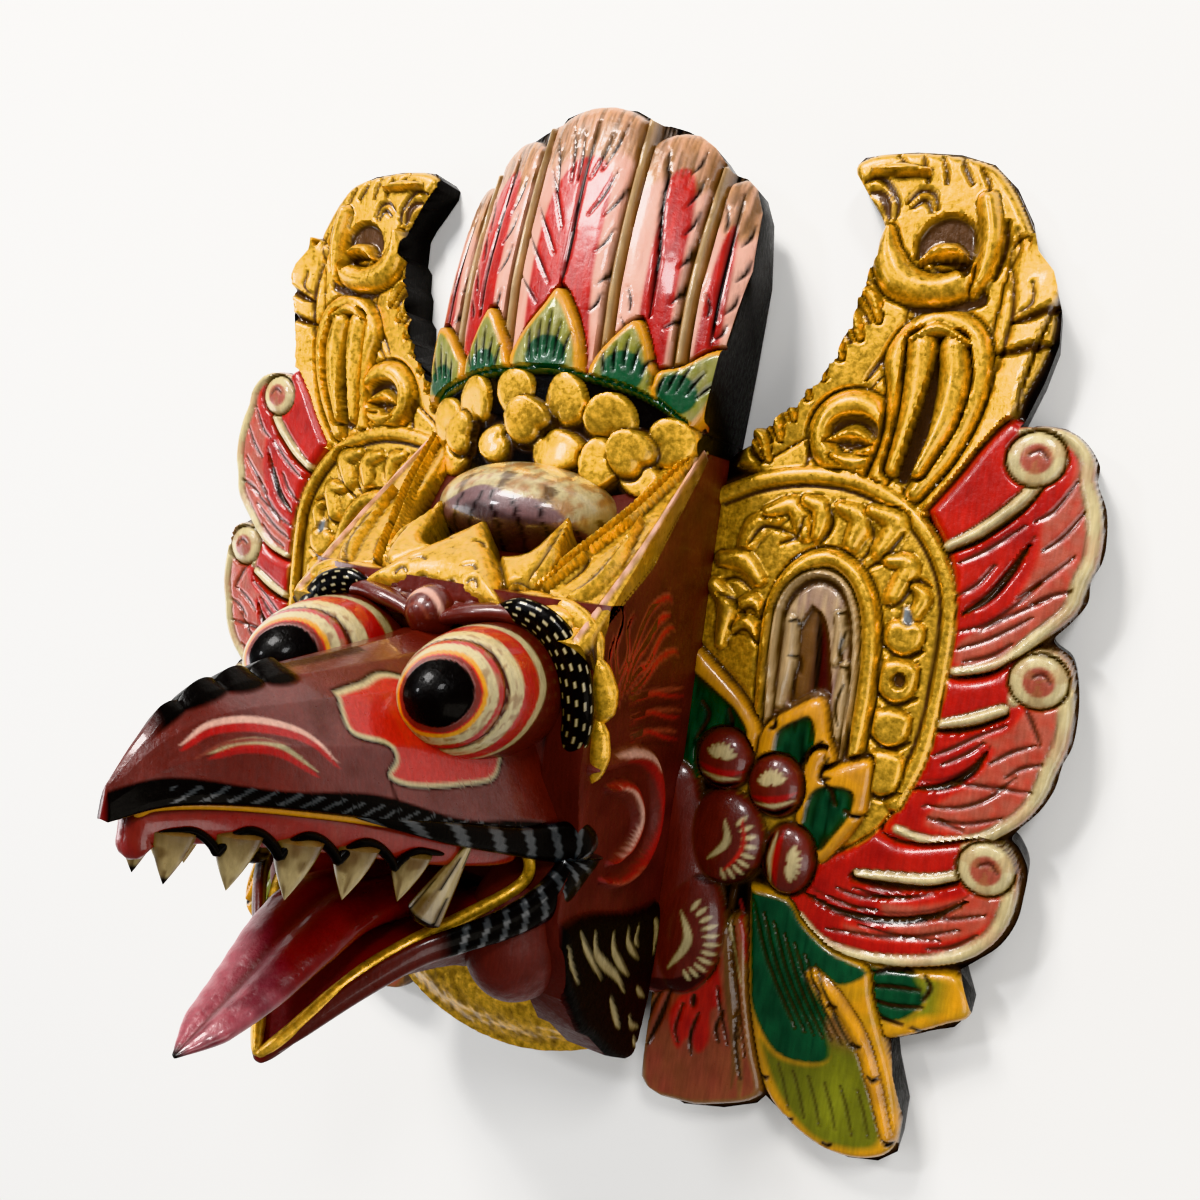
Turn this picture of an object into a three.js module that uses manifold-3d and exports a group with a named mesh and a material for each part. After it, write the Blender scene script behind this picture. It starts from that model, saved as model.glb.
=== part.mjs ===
// A Garuda mask: a bird-headed wall mask of carved and painted wood. Three pieces: the head, cut from
// one block with its beak, jaw, tongue, teeth, diadem and feather crown, and two flat carved wing
// panels that butt against its sides. Millimetres. The mask lies on its back: +X is the viewer's
// right, +Y the top of the mask and +Z out of the face.
import * as THREE from "three";
import { mergeVertices } from "three/addons/utils/BufferGeometryUtils.js";
import Module from "manifold-3d";

const wasm = await Module();
wasm.setup();

// Driving dimensions. Heights are measured from the line between the brows.
const crownTop = 184; // top of the middle crown feather
const tailTip = -217; // lowest tip of the wing panels
const headHalf = 62; // middle plane to the side wall of the head
const headFront = 120; // back of the mask to the plane of the eye sockets
const beakReach = 247; // back of the mask to the tip of the beak
const wingWidth = 140; // seam to the outermost feather
const boardThick = 16; // plain edge of a wing panel
const carvingRise = 9; // highest carving above that edge
const boardRim = 2.5; // plain edge that shows outside the carving
const scallop = 1.5; // how far each barb of a feather stands out
const seamGap = 0.3; // between the head and a wing panel
const eyeSpacing = 60; // between the pupils
const eyeRadius = 22.5;
const eyeReach = 171; // back of the mask to the front of an eye
const eyeLength = 42; // half the length of the egg that an eye is the end of
const hollowDepth = 58; // scooped out of the back of the head
const hollowHalfWidth = 43;
const hollowHalfHeight = 78;
const toothLength = 18;

// The wing carving is drawn on a grid of its own, from the seam outwards and from tip to horn.
const gridWidth = 140;
const gridSeam = 62;
const wingSeam = headHalf + seamGap;
const onWing = (x) => wingSeam + ((x - gridSeam) * wingWidth) / gridWidth;

const bossDepth = 9; // a round boss reaches this far down into the wood
const beyond = 700; // larger than the mask, for the boxes that saw a side straight

const lerp = THREE.MathUtils.lerp;

// A value at share t of an evenly spaced list.
function along(list, t) {
  if (!Array.isArray(list)) return list;
  const at = Math.min(t, 0.999999) * (list.length - 1);
  return lerp(list[Math.floor(at)], list[Math.floor(at) + 1], at % 1);
}

// A smooth line through [a, b] points, as a function of its share t.
function smooth(points) {
  const curve = new THREE.CatmullRomCurve3(points.map(([a, b]) => new THREE.Vector3(a, b, 0)));
  return (t) => curve.getPoint(t);
}

// A spiral line of [a, b] points that winds in from radius `wide` to `tight`.
function spiral([a, b], wide, tight, start, turns, count = 9) {
  return Array.from({ length: count }, (_, i) => {
    const share = i / (count - 1);
    const angle = THREE.MathUtils.degToRad(start + 360 * turns * share);
    const radius = lerp(wide, tight, share);
    return [a + radius * Math.cos(angle), b + radius * Math.sin(angle)];
  });
}

// Where a carving's own (along, up, height) goes.
const onPanel = (a, b, h) => [onWing(a), b, h];
const onFace = (a, b, h) => [a, b, h];
const onSide = (a, b, h) => [headHalf + h, b, a];

// A closed solid from a geometry or from vertices and faces, turned to face out.
function solid(vertices, faces) {
  const make = (order) =>
    new wasm.Manifold(
      new wasm.Mesh({
        numProp: 3,
        vertProperties: new Float32Array(vertices),
        triVerts: new Uint32Array(order),
      }),
    );
  const made = make(faces);
  if (made.volume() > 0) return made;
  const turned = [];
  for (let i = 0; i < faces.length; i += 3) turned.push(faces[i], faces[i + 2], faces[i + 1]);
  return make(turned);
}

function solidOf(geometry) {
  geometry.deleteAttribute("normal");
  geometry.deleteAttribute("uv");
  const merged = mergeVertices(geometry, 1e-4);
  return solid(merged.attributes.position.array, Array.from(merged.index.array));
}

// Triangles over a ring of points that lies near a plane.
function cap(ring, offset) {
  const normal = new THREE.Vector3();
  ring.forEach(([x, y, z], i) => {
    const [u, v, w] = ring[(i + 1) % ring.length];
    normal.add(new THREE.Vector3((y - v) * (z + w), (z - w) * (x + u), (x - u) * (y + v)));
  });
  const size = normal.toArray().map(Math.abs);
  const drop = size.indexOf(Math.max(...size));
  const kept = [0, 1, 2].filter((axis) => axis !== drop);
  const flat = ring.map((p) => new THREE.Vector2(p[kept[0]], p[kept[1]]));
  const mirrored = THREE.ShapeUtils.isClockWise(flat);
  const turned = mirrored ? flat.map((p) => new THREE.Vector2(-p.x, p.y)) : flat;
  return THREE.ShapeUtils.triangulateShape(turned, []).flatMap(([a, b, c]) =>
    (mirrored ? [a, c, b] : [a, b, c]).map((k) => k + offset),
  );
}

// A closed solid through rings of as many points each, capped at both ends.
function loft(rings) {
  const count = rings[0].length;
  const faces = [];
  for (let i = 0; i + 1 < rings.length; i++)
    for (let j = 0; j < count; j++) {
      const a = i * count + j;
      const b = i * count + ((j + 1) % count);
      faces.push(a, b, b + count, a, b + count, a + count);
    }
  // The walls decide which way a cap has to face.
  const close = (ring, offset, wanted) => {
    const made = cap(ring, offset);
    const edges = new Set();
    for (let i = 0; i < made.length; i += 3)
      for (let k = 0; k < 3; k++) edges.add(made[i + k] + ">" + made[i + ((k + 1) % 3)]);
    if (edges.has(wanted)) return made;
    return made.flatMap((_, i) => (i % 3 ? [] : [made[i], made[i + 2], made[i + 1]]));
  };
  const last = (rings.length - 1) * count;
  faces.push(...close(rings[0], 0, "1>0"));
  faces.push(...close(rings[rings.length - 1], last, last + ">" + (last + 1)));
  return solid(rings.flat(2), faces);
}

// A blade: a roof-shaped ridge along a line, with its half width, edge and crest heights as lists.
function blade({ line, half, foot = boardThick / 2, edge, crest, steps = 7, place = onPanel }) {
  const at = smooth(line);
  return loft(
    Array.from({ length: steps + 1 }, (_, i) => {
      const t = i / steps;
      const here = at(t);
      const way = at(Math.min(1, t + 0.01)).sub(at(Math.max(0, t - 0.01))).normalize();
      const w = along(half, t);
      const point = (side, h) => place(here.x - way.y * side, here.y + way.x * side, h);
      const low = along(edge, t);
      return [point(-w, foot), point(w, foot), point(w, low), point(0, along(crest, t)), point(-w, low)];
    }),
  );
}

// A vane: feather or leaf between two lines, furrowed from the inner to the outer one.
function vane({ inner, outer, foot = boardThick / 2, low, high, ridges, bow = 0, across = 2 }) {
  const from = smooth(inner);
  const to = smooth(outer);
  return loft(
    Array.from({ length: 2 * ridges + 1 }, (_, i) => {
      const v = i / (2 * ridges);
      const start = from(v);
      const end = to(v);
      const top = Array.from({ length: across + 1 }, (_, k) => {
        const u = 1 - k / across;
        const lift = bow * Math.sin(Math.PI * u);
        const h = i % 2 ? high : low;
        const tip = k === 0 ? low : h;
        return onPanel(lerp(start.x, end.x, u), lerp(start.y, end.y, u) + lift, tip);
      });
      return [onPanel(start.x, start.y, foot), onPanel(end.x, end.y, foot), ...top];
    }),
  );
}

// A flat board cut to an outline of [a, b] points.
function board(outline, thick, place = onPanel) {
  const ring = (h) => outline.map(([a, b]) => place(a, b, h));
  return loft([ring(0), ring(thick)]);
}

// A half-sunk bead, stretched to its own radii.
function bead([x, y, z], [rx, ry, rz], around = 10, rows = 5) {
  const ball = new THREE.SphereGeometry(1, around, rows).rotateX(Math.PI / 2);
  return solidOf(ball.scale(rx, ry, rz).translate(x, y, z));
}

// A bevelled round boss, such as a petal or the tip of a scroll, whose flat top is at `top`.
function knob([x, y, top], radius) {
  const boss = new THREE.CylinderGeometry(radius * 0.55, radius, bossDepth, 7).rotateX(Math.PI / 2);
  return solidOf(boss.translate(x, y, top - bossDepth / 2));
}

// A pointed tooth, claw or drop from a base to a tip, thickest at its base.
function spike(base, tip, radius, around = 5) {
  const from = new THREE.Vector3(...base);
  const to = new THREE.Vector3(...tip);
  const length = from.distanceTo(to);
  const cone = new THREE.CylinderGeometry(0.5, radius, length, around).translate(0, length / 2, 0);
  const up = new THREE.Vector3(0, 1, 0);
  const turn = new THREE.Quaternion().setFromUnitVectors(up, to.clone().sub(from).normalize());
  return solidOf(cone.applyQuaternion(turn).translate(...base));
}

const mirror = ([x, ...rest]) => [-x, ...rest];
const join = (solids) => solids.reduce((whole, next) => whole.add(next));

// Carvings that touch can close a pocket between them. The wood is solid there.
const withoutPockets = (whole) => join(whole.decompose().filter((shell) => shell.volume() > 0));

const both = (make) => {
  const one = make();
  return one.add(one.mirror([1, 0, 0]));
};

// Wing panel, for the viewer's right.

const low = boardThick;
const high = boardThick + carvingRise;
const mid = boardThick + carvingRise * 0.55;

const feathers = [
  {
    inner: [[160, 72], [157, 40], [155, 8], [155, -14]],
    outer: [[172, 73], [188, 68], [196, 50], [199, 30], [197, 12], [188, 1]],
    curl: [185, 61],
    curlRadius: 12,
  },
  {
    inner: [[154, -12], [151, -40], [146, -62], [138, -74]],
    outer: [[182, -2], [195, -7], [199, -24], [199, -40], [193, -56], [184, -71]],
    curl: [188, -15],
    curlRadius: 11,
  },
  {
    inner: [[144, -72], [132, -90], [120, -102], [110, -110]],
    outer: [[172, -73], [187, -78], [192, -92], [191, -104], [182, -117], [160, -126]],
    curl: [179, -86],
    curlRadius: 11,
  },
];

// The horn's outline: over its rounded outer leaves, then down its saw-toothed inner edge.
const hornOuter = [
  [168, 70], [173, 84], [177, 99], [176, 113], [171, 126], [165, 133], [162, 145], [155, 157],
  [146, 166], [134, 170], [118, 171.5], [103, 171], [96.5, 167],
];
const hornInner = [[103, 157], [110, 147], [112, 138], [109, 126]];
const sawTeeth = 7;
const sawFrom = [109, 126];
const sawTo = [66, 56];
const sawDepth = 3.5;

function sawEdge() {
  const way = [sawTo[0] - sawFrom[0], sawTo[1] - sawFrom[1]];
  const length = Math.hypot(...way);
  const out = [way[1] / length, -way[0] / length];
  return Array.from({ length: sawTeeth }, (_, i) => {
    const tip = (i + 0.25) / sawTeeth;
    const sag = 5 * Math.sin(Math.PI * tip);
    const at = (share, reach) => [0, 1].map((k) => sawFrom[k] + way[k] * share + out[k] * reach);
    return [at(tip, sawDepth - sag), at(tip + 0.6 / sawTeeth, -sag)];
  }).flat();
}

// Round the tips of a feather, a little outside its barbs.
function featherEdge({ outer }) {
  const at = smooth(outer);
  const barbs = 4;
  return Array.from({ length: 2 * barbs + 1 }, (_, i) => {
    const { x, y } = at(i / (2 * barbs));
    return [x + boardRim + (i % 2 ? scallop : 0), y];
  });
}

const leafEdge = [
  [178, -127], [184, -141], [179, -148], [157, -161], [160, -173], [166, -190], [165, -203], [159, -209],
  [149, -212], [127, -207], [114, -201], [111, -205], [98, -212], [81, tailTip], [gridSeam, -212],
];

const panelOutline = [
  [gridSeam, 52], ...sawEdge().reverse(), ...hornInner.slice(0, -1).reverse(), ...hornOuter.slice().reverse(),
  ...feathers.flatMap(featherEdge), ...leafEdge,
];

const ringOuter = [
  [62, 36], [78, 45], [98, 50], [117, 48], [134, 41], [147, 28], [155, 8], [156, -20], [154, -48], [148, -68],
];
const archLine = [
  [93, -52], [92, -22], [93, -4], [100, 12], [112, 15], [123, 6], [127, -12], [129, -38], [127, -60],
];
const windowLine = [[110, -58], [109, -30], [109, 2]];

const scroll = { line: spiral([130, 138], 19, 7, -60, -0.95), half: [8, 10, 9, 7, 5] };
const smallScroll = { line: spiral([111, 66], 12, 4, -60, -1.1), half: [5, 6, 6, 5, 4] };
const hornBrow = { line: [[104, 165], [122, 163], [140, 158], [152, 146]], half: [3, 7, 8, 6] };
const hornLeaf = { line: [[167, 127], [171, 110], [167, 88], [154, 66], [138, 51]], half: [2, 6, 7, 6, 3] };
const foldRight = { line: [[119, 50], [131, 76], [142, 96], [138, 109]], half: [3, 5, 7, 4] };
const foldLeft = { line: [[116, 50], [119, 72], [126, 96], [133, 110]], half: [3, 6, 8, 4] };
const innerLeaf = { line: [[70, 53], [90, 69], [102, 92], [114, 120]], half: [4, 9, 9, 3] };

function hornCarving() {
  return join([
    blade({ ...scroll, edge: mid, crest: high + 2, steps: 7 }),
    blade({ ...hornBrow, edge: mid, crest: high, steps: 3 }),
    blade({ ...hornLeaf, edge: low, crest: high, steps: 4 }),
    blade({ ...foldRight, edge: mid, crest: high + 1, steps: 3 }),
    blade({ ...foldLeft, edge: mid, crest: high + 1, steps: 3 }),
    blade({ ...innerLeaf, edge: low, crest: mid + 2, steps: 3 }),
    blade({ ...smallScroll, edge: mid, crest: high + 1, steps: 5 }),
  ]);
}

// The arched window in the ring, its fan of lobes, and the lobes down both of its sides.
const windowCrown = [109, 2];
const lobeCount = 6;
const lobeRoot = [22, 20];
const lobeTip = [39, 40];
const sideLobes = [
  ...[-22, -40, -58].map((y) => ({ line: [[136, y + 6], [146, y], [141, y - 8]], half: [4, 6, 5] })),
  { line: [[70, 30], [76, 12], [72, -10]], half: [6, 8, 5] },
];

function ringCarving() {
  const lobe = (i) => {
    const angle = THREE.MathUtils.degToRad(lerp(165, -15, i / (lobeCount - 1)));
    const [x, y] = windowCrown;
    const around = ([a, b], turn) => [x + a * Math.cos(turn), y + b * Math.sin(turn)];
    const line = [around(lobeRoot, angle), around(lobeTip, angle - 0.2)];
    return blade({ line, half: [6, 9, 9, 4], edge: low, crest: mid + 1, steps: 2 });
  };
  return join([
    blade({ line: ringOuter, half: 3, edge: mid, crest: high - 3, steps: 8 }),
    ...Array.from({ length: lobeCount }, (_, i) => lobe(i)),
    ...sideLobes.map((leaf) => blade({ ...leaf, edge: low, crest: mid, steps: 2 })),
    blade({ line: archLine, half: 4.5, edge: mid, crest: high, steps: 8 }),
    blade({ line: windowLine, half: [12, 14, 8], edge: low, crest: low + 1.5, steps: 2 }),
  ]);
}

function featherCarving({ inner, outer, curl, curlRadius }) {
  return join([
    vane({ inner, outer, low: low + 1, high: mid + 2, ridges: 3, bow: 4 }),
    knob(onPanel(...curl, high - 1), curlRadius * 0.85),
  ]);
}

// Leaf, fruit and tail carving below the ring.
const leafSprays = [
  { line: [[80, -66], [71, -45], [65, -26]], half: [9, 12, 1.5] },
  { line: [[94, -66], [106, -52], [116, -37]], half: [9, 13, 1.5] },
  { line: [[104, -80], [124, -72], [139, -57]], half: [9, 14, 1.5] },
  { line: [[112, -92], [124, -88], [134, -84]], half: [10, 12, 4] },
];
const fruits = [
  { at: [81, -65], radius: [9.5, 9.5] },
  { at: [104, -71], radius: [9, 9.5] },
  { at: [114, -97], radius: [9.5, 11.5] },
  { at: [86, -92], radius: [14.5, 14.5] },
];
const fruitRise = 13;
const pod = { line: [[77, -98], [76, -125], [80, -160]], half: [12, 11.5, 12, 12.5, 8] };
const tailLeaf = { line: [[106, -108], [118, -145], [134, -178], [152, -209]], half: [7, 15, 21, 24, 22, 5] };
const sideLeaf = { line: [[122, -112], [150, -130], [182, -142]], half: [8, 17, 15, 3] };

function lowerCarving() {
  const fullLeaf = (leaf, crest) => blade({ ...leaf, edge: low + 1, crest, steps: 4 });
  return join([
    fullLeaf(sideLeaf, mid + 1),
    fullLeaf(tailLeaf, mid + 2),
    vane({
      inner: [[gridSeam - 2, -146], [82, -150], [100, -150]],
      outer: [[gridSeam - 2, -209], [82, tailTip + boardRim], [110, -203]],
      low: low + 1,
      high: mid + 1,
      ridges: 3,
    }),
    ...leafSprays.map((leaf) => blade({ ...leaf, edge: mid, crest: high - 1, steps: 2 })),
    ...fruits.map(({ at: [x, y], radius }) => bead([onWing(x), y, high - 5], [...radius, fruitRise], 8, 4)),
    blade({ ...pod, edge: high - 2, crest: high + 5, steps: 4 }),
  ]);
}

function wing() {
  const whole = join([
    board(panelOutline, low),
    hornCarving(),
    ringCarving(),
    ...feathers.map(featherCarving),
    lowerCarving(),
  ]);
  // The seam is sawn straight.
  const box = new THREE.BoxGeometry(beyond, beyond, beyond);
  const beyondSeam = solidOf(box.translate(wingSeam + beyond / 2, 0, 0));
  return withoutPockets(whole.intersect(beyondSeam));
}

// Head.

// Side view of the block as [y, z], from the top of its back round the face to the chin.
const blockTop = 52;
const templeDepth = 40;
const blockSide = [
  [blockTop, 0], [blockTop, templeDepth], [8, 82], [-11, headFront - 6], [-24, headFront],
  [-62, headFront], [-90, headFront - 8], [-117, headFront + 8], [-138, headFront - 8],
  [-160, 84], [-164, 60], [-150, 34], [-150, 0],
];

function block() {
  const sections = [0, 0.65, 1];
  const roundFront = [0, 3, 11];
  const liftChin = [0, 8, 30];
  const ring = (share, set, lift, sign) =>
    blockSide.map(([y, z]) => [
      sign * share * headHalf,
      y < -100 ? y + lift * Math.min(1, (-100 - y) / 50) : y,
      z > 70 ? z - (set * (z - 70)) / 50 : z,
    ]);
  return loft([
    ...[2, 1].map((i) => ring(sections[i], roundFront[i], liftChin[i], -1)),
    ...[0, 1, 2].map((i) => ring(sections[i], roundFront[i], liftChin[i], 1)),
  ]);
}

// Beak: sections at a depth z, with the height of the ridge and of the rim and the half width.
const beakRoot = headFront - 22;
const beakSections = [
  { share: 0, ridge: -14, rim: -90, half: 57 },
  { share: 0.16, ridge: -22, rim: -86, half: 53 },
  { share: 0.36, ridge: -26, rim: -79, half: 44 },
  { share: 0.55, ridge: -29, rim: -71, half: 34 },
  { share: 0.7, ridge: -31, rim: -65.5, half: 25 },
  { share: 0.82, ridge: -34, rim: -62, half: 16.5 },
  { share: 0.92, ridge: -42, rim: -61, half: 8.5 },
  { share: 1, ridge: -56, rim: -64, half: 1.5 },
];
const beakAt = (share) => lerp(beakRoot, beakReach, share);

function beakRing({ share, ridge, rim, half }) {
  const tall = ridge - rim;
  const right = [[0.06, 0], [0.45, 0.18], [0.8, 0.5], [1, 0.9], [0.94, 1]].map(([w, h]) => [
    w * half,
    ridge - h * tall,
    beakAt(share),
  ]);
  return [...right, ...right.map(mirror).reverse()];
}

// The gums hang inside the rim and carry the teeth.
const gumDrop = 10;
const gumInset = 4;
function gumRing({ share, rim, half }) {
  const wide = Math.max(1.2, half - gumInset);
  const z = Math.min(beakAt(share), beakReach - 8);
  const right = [[wide, rim + 3, z], [wide * 0.93, rim - gumDrop, z]];
  return [mirror(right[0]), ...right, mirror(right[1])];
}

// Upper teeth from the tip of the beak back, as shares of the beak's length.
const toothShares = [0.89, 0.79, 0.69, 0.58, 0.46];
function beakWidthAt(share, key) {
  const i = Math.max(1, beakSections.findIndex((s) => s.share >= share));
  const [a, b] = [beakSections[i - 1], beakSections[i]];
  return lerp(a[key], b[key], (share - a.share) / (b.share - a.share));
}

const toothRadius = 6.5;
function teeth() {
  return join(
    toothShares.map((share) => {
      const side = Math.max(4, beakWidthAt(share, "half") - gumInset - 3);
      const top = beakWidthAt(share, "rim") - gumDrop + 4;
      const z = beakAt(share);
      return spike([side, top, z], [side * 0.96, top - toothLength, z + 1], toothRadius);
    }),
  );
}

// Lower jaw: sections with the height of the lip and of the underside.
const jawSections = [
  { z: 96, lip: -98, under: -150, half: 50 },
  { z: 128, lip: -105, under: -140, half: 44 },
  { z: 155, lip: -110, under: -137, half: 34 },
  { z: 172, lip: -121, under: -142, half: 24 },
  { z: 184, lip: -137, under: -148, half: 12 },
  { z: 191, lip: -147, under: -151, half: 3 },
];
const jawZ = (z) => z + headFront - 120;

function jawRing({ z, lip, under, half }) {
  const tall = lip - under;
  const right = [[0, 1], [0.6, 0.86], [1, 0], [0.9, -0.02]];
  const scoop = Math.min(9, tall * 0.4);
  const rest = [[0.74, scoop / tall], [0, (scoop * 1.15) / tall]];
  const half1 = [...right, ...rest].map(([w, h]) => [w * half, lip - h * tall, jawZ(z)]);
  return [...half1, ...half1.slice(1, -1).reverse().map(mirror)];
}

const tongueLine = [[92, -116], [130, -112], [160, -108], [181, -113], [196, -127], [221, -139]];
function tongue() {
  const at = smooth(tongueLine);
  const steps = 7;
  return loft(
    Array.from({ length: steps + 1 }, (_, i) => {
      const t = i / steps;
      const here = at(t);
      const way = at(Math.min(1, t + 0.01)).sub(at(Math.max(0, t - 0.01))).normalize();
      const wide = along([17, 18, 17, 14, 11, 4], t);
      const thick = along([9, 9, 8, 7, 6, 2.5], t);
      const point = (x, up) => [x, here.y + way.x * up, jawZ(here.x - way.y * up)];
      return [
        point(-wide, 0), point(-wide * 0.75, -thick), point(wide * 0.75, -thick), point(wide, 0),
        point(wide * 0.6, thick * 0.8), point(0, thick * 0.55), point(-wide * 0.6, thick * 0.8),
      ];
    }),
  );
}

function mouthSpace() {
  const ring = (z, half, top, bottom) => [
    [-half, bottom, z], [half, bottom, z], [half, top, z], [-half, top, z],
  ];
  return loft([
    ring(headFront - 26, 30, -84, -104),
    ring(headFront - 5, 45, -80, -106),
    ring(headFront + 30, 60, -70, -105),
  ]);
}

const eyeCentre = [eyeSpacing / 2 + 1, -38, eyeReach - eyeLength];
const lid = {
  line: [[6, -14], [26, -9], [48, -14], [59, -36], [50, -62], [30, -70]],
  half: [5, 5, 6, 6, 5, 2],
};
const lidRise = [6, 12, 8, 2, -2, 0];
function eye() {
  const crest = lidRise.map((rise) => headFront + rise);
  return join([
    bead(eyeCentre, [eyeRadius, eyeRadius, eyeLength], 12, 8),
    blade({ ...lid, foot: headFront - 30, edge: headFront - 2, crest, steps: 5, place: onFace }),
  ]);
}

// Slope above the brow that carries the diadem, the dome and the foot of the crown.
const slopeRise = blockTop - -11;
const slopeRun = headFront - 6 - templeDepth;
const slopeLength = Math.hypot(slopeRise, slopeRun);
const onSlope = (a, b, h) => [
  a,
  -11 + (b * slopeRise) / slopeLength + (h * slopeRun) / slopeLength,
  headFront - 6 - (b * slopeRun) / slopeLength + (h * slopeRise) / slopeLength,
];

const sideBand = [
  [headHalf - 18, -6], [headHalf - 11, 22], [headHalf - 7, 56], [headHalf - 5, slopeLength + 1],
];
const sidePeak = [[22, -3], [32, 12], [40, 34]];
const temple = [[headHalf - 6, -8], [headHalf - 1, -32], [headHalf - 4, -58]];
// The plaque in the middle, as [across, up, height] of its foot and of its face.
const plaqueFoot = [[-26, -8], [26, -8], [22, 8], [0, 32], [-22, 8]].map((p) => [...p, -12]);
const plaqueFace = [[-24, -5, 3], [24, -5, 3], [18, 8, 7], [0, 32, 9], [-18, 8, 7]];

function diadem() {
  const onSlopeBlade = (leaf) => blade({ ...leaf, foot: -12, edge: 0, place: onSlope });
  const side = join([
    onSlopeBlade({ line: sideBand, half: [9, 8, 7, 4], crest: 5, steps: 4 }),
    onSlopeBlade({ line: sidePeak, half: [10, 8, 2], crest: 7, steps: 3 }),
    blade({
      line: temple,
      half: [5, 5, 2],
      foot: headFront - 28,
      edge: headFront - 10,
      crest: headFront - 5,
      steps: 3,
      place: onFace,
    }),
  ]);
  const plaque = loft([plaqueFoot, plaqueFace].map((ring) => ring.map((point) => onSlope(...point))));
  return join([plaque, side, side.mirror([1, 0, 0])]);
}

// Crown: a convex fan that leans back.
const fanFoot = 30;
const fanTop = crownTop - 184; // the fan's shoulders rise and fall with its top
const crownDepth = 62; // back of the mask to the front of the crown's band
const fanHalf = 67;
function crownFront(x, y) {
  const lean = y > 107 ? ((y - 107) / 77) ** 1.4 * 17 : 0;
  const drop = (18 + Math.max(0, (12 * (y - 91)) / 72)) * (x / fanHalf) ** 2;
  return crownDepth - lean - drop;
}
const onCrown = (a, b, h) => [a, b, crownFront(a, b) + h];

// Half width of the crown at each level, foot to top.
const crownEdge = [
  [fanFoot, 56], [90, 65], [122, fanHalf + 1], [146, 64], [161, 54],
];

function crownBody() {
  const backAt = (y) => Math.max(0, ((y - 60) / 124) * 20);
  const columns = [-1, -0.75, -0.35, 0.35, 0.75, 1];
  const rows = [...crownEdge, [172 + fanTop, 38], [180 + fanTop, 18]];
  return loft(
    rows.map(([y, half]) => [
      ...columns.map((c) => [c * half, y, crownFront(c * half, y) - 3]),
      [half, y, backAt(y)],
      [-half, y, backAt(y)],
    ]),
  );
}

function crownFeathers() {
  const foot = -16;
  const feather = (left, right, top) =>
    loft(
      [0, 0.5, 0.86, 1].map((t) => {
        const y = lerp(84, top, t);
        const narrow = t === 1 ? 0.5 : 1;
        const centre = lerp((left[0] + right[0]) / 2, (left[1] + right[1]) / 2, t);
        const half = (lerp(right[0] - left[0], right[1] - left[1], t) / 2) * narrow - 0.4;
        const rise = t < 1 ? 3 : 0.5;
        const profile = [[-1, foot], [1, foot], [1, 0], [0.5, rise], [0, rise * 0.6], [-0.5, rise], [-1, 0]];
        return profile.map(([s, h]) =>
          onCrown(centre + s * half, y - Math.abs(s) * 1.5, h),
        );
      }),
    );
  return join([
    feather([-18, -21], [18, 21], crownTop - 0.4),
    both(() => feather([18, 21], [50, 53], crownTop - 10)),
    both(() => feather([50, 53], [65, 66], crownTop - 26)),
  ]);
}

// Leaf collar and blossoms round the foot of the fan.
function collarLeaf(x, tip, reach) {
  const line = [[x * 0.88, 66 + reach], [x, 84 + reach / 2], [x, tip]];
  return blade({ line, half: [15, 14, 1], foot: -12, edge: 2, crest: 5, steps: 2, place: onCrown });
}

function blossom(x, y) {
  const petals = 4;
  const disc = (a, b, r, rise) => knob(onCrown(a, b, rise), r);
  return join([
    disc(x, y, 7.5, 6),
    ...Array.from({ length: petals }, (_, i) => {
      const angle = (i + 0.35) * ((2 * Math.PI) / petals);
      return disc(x + 11 * Math.cos(angle), y + 11 * Math.sin(angle), 8, 4.5);
    }),
  ]);
}

const domeCentre = [0, 20, 62];
const domeRadii = [38, 19, 26];
function crown() {
  return join([
    crownBody(),
    crownFeathers(),
    both(() => collarLeaf(58, 92, -8)),
    both(() => collarLeaf(32, 99, -3)),
    collarLeaf(0, 107, 2),
    both(() => blossom(39, 47)),
    blossom(0, 52),
    bead(domeCentre, domeRadii, 10, 6),
  ]);
}

// Cheek, whisker lock and throat collar.
const frontLock = { line: [[96, -116], [76, -145], [46, -186]], half: [14, 13, 2] };
const backLock = { line: [[52, -118], [44, -150], [36, -196]], half: [18, 12, 2] };
function cheek() {
  const lock = (leaf, crest) => blade({ ...leaf, foot: -18, edge: -2, crest, steps: 3, place: onSide });
  return join([
    bead([headHalf - 4, -82, 78], [10, 27, 25], 10, 6),
    lock(frontLock, 2),
    lock(backLock, 1.5),
  ]);
}

function throatCollar() {
  const sides = [-1, -0.66, -0.33, 0, 0.33, 0.66, 1];
  const collarHalf = 52;
  return loft(
    sides.map((s) => {
      const bottom = -206 + 14 * s * s;
      const profile = [
        [0, -140], [0, bottom + 6], [26, bottom], [44, bottom + 5], [50, bottom + 22], [50, -146],
      ];
      return profile.map(([z, y]) => [s * collarHalf, y, z]);
    }),
  );
}

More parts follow.
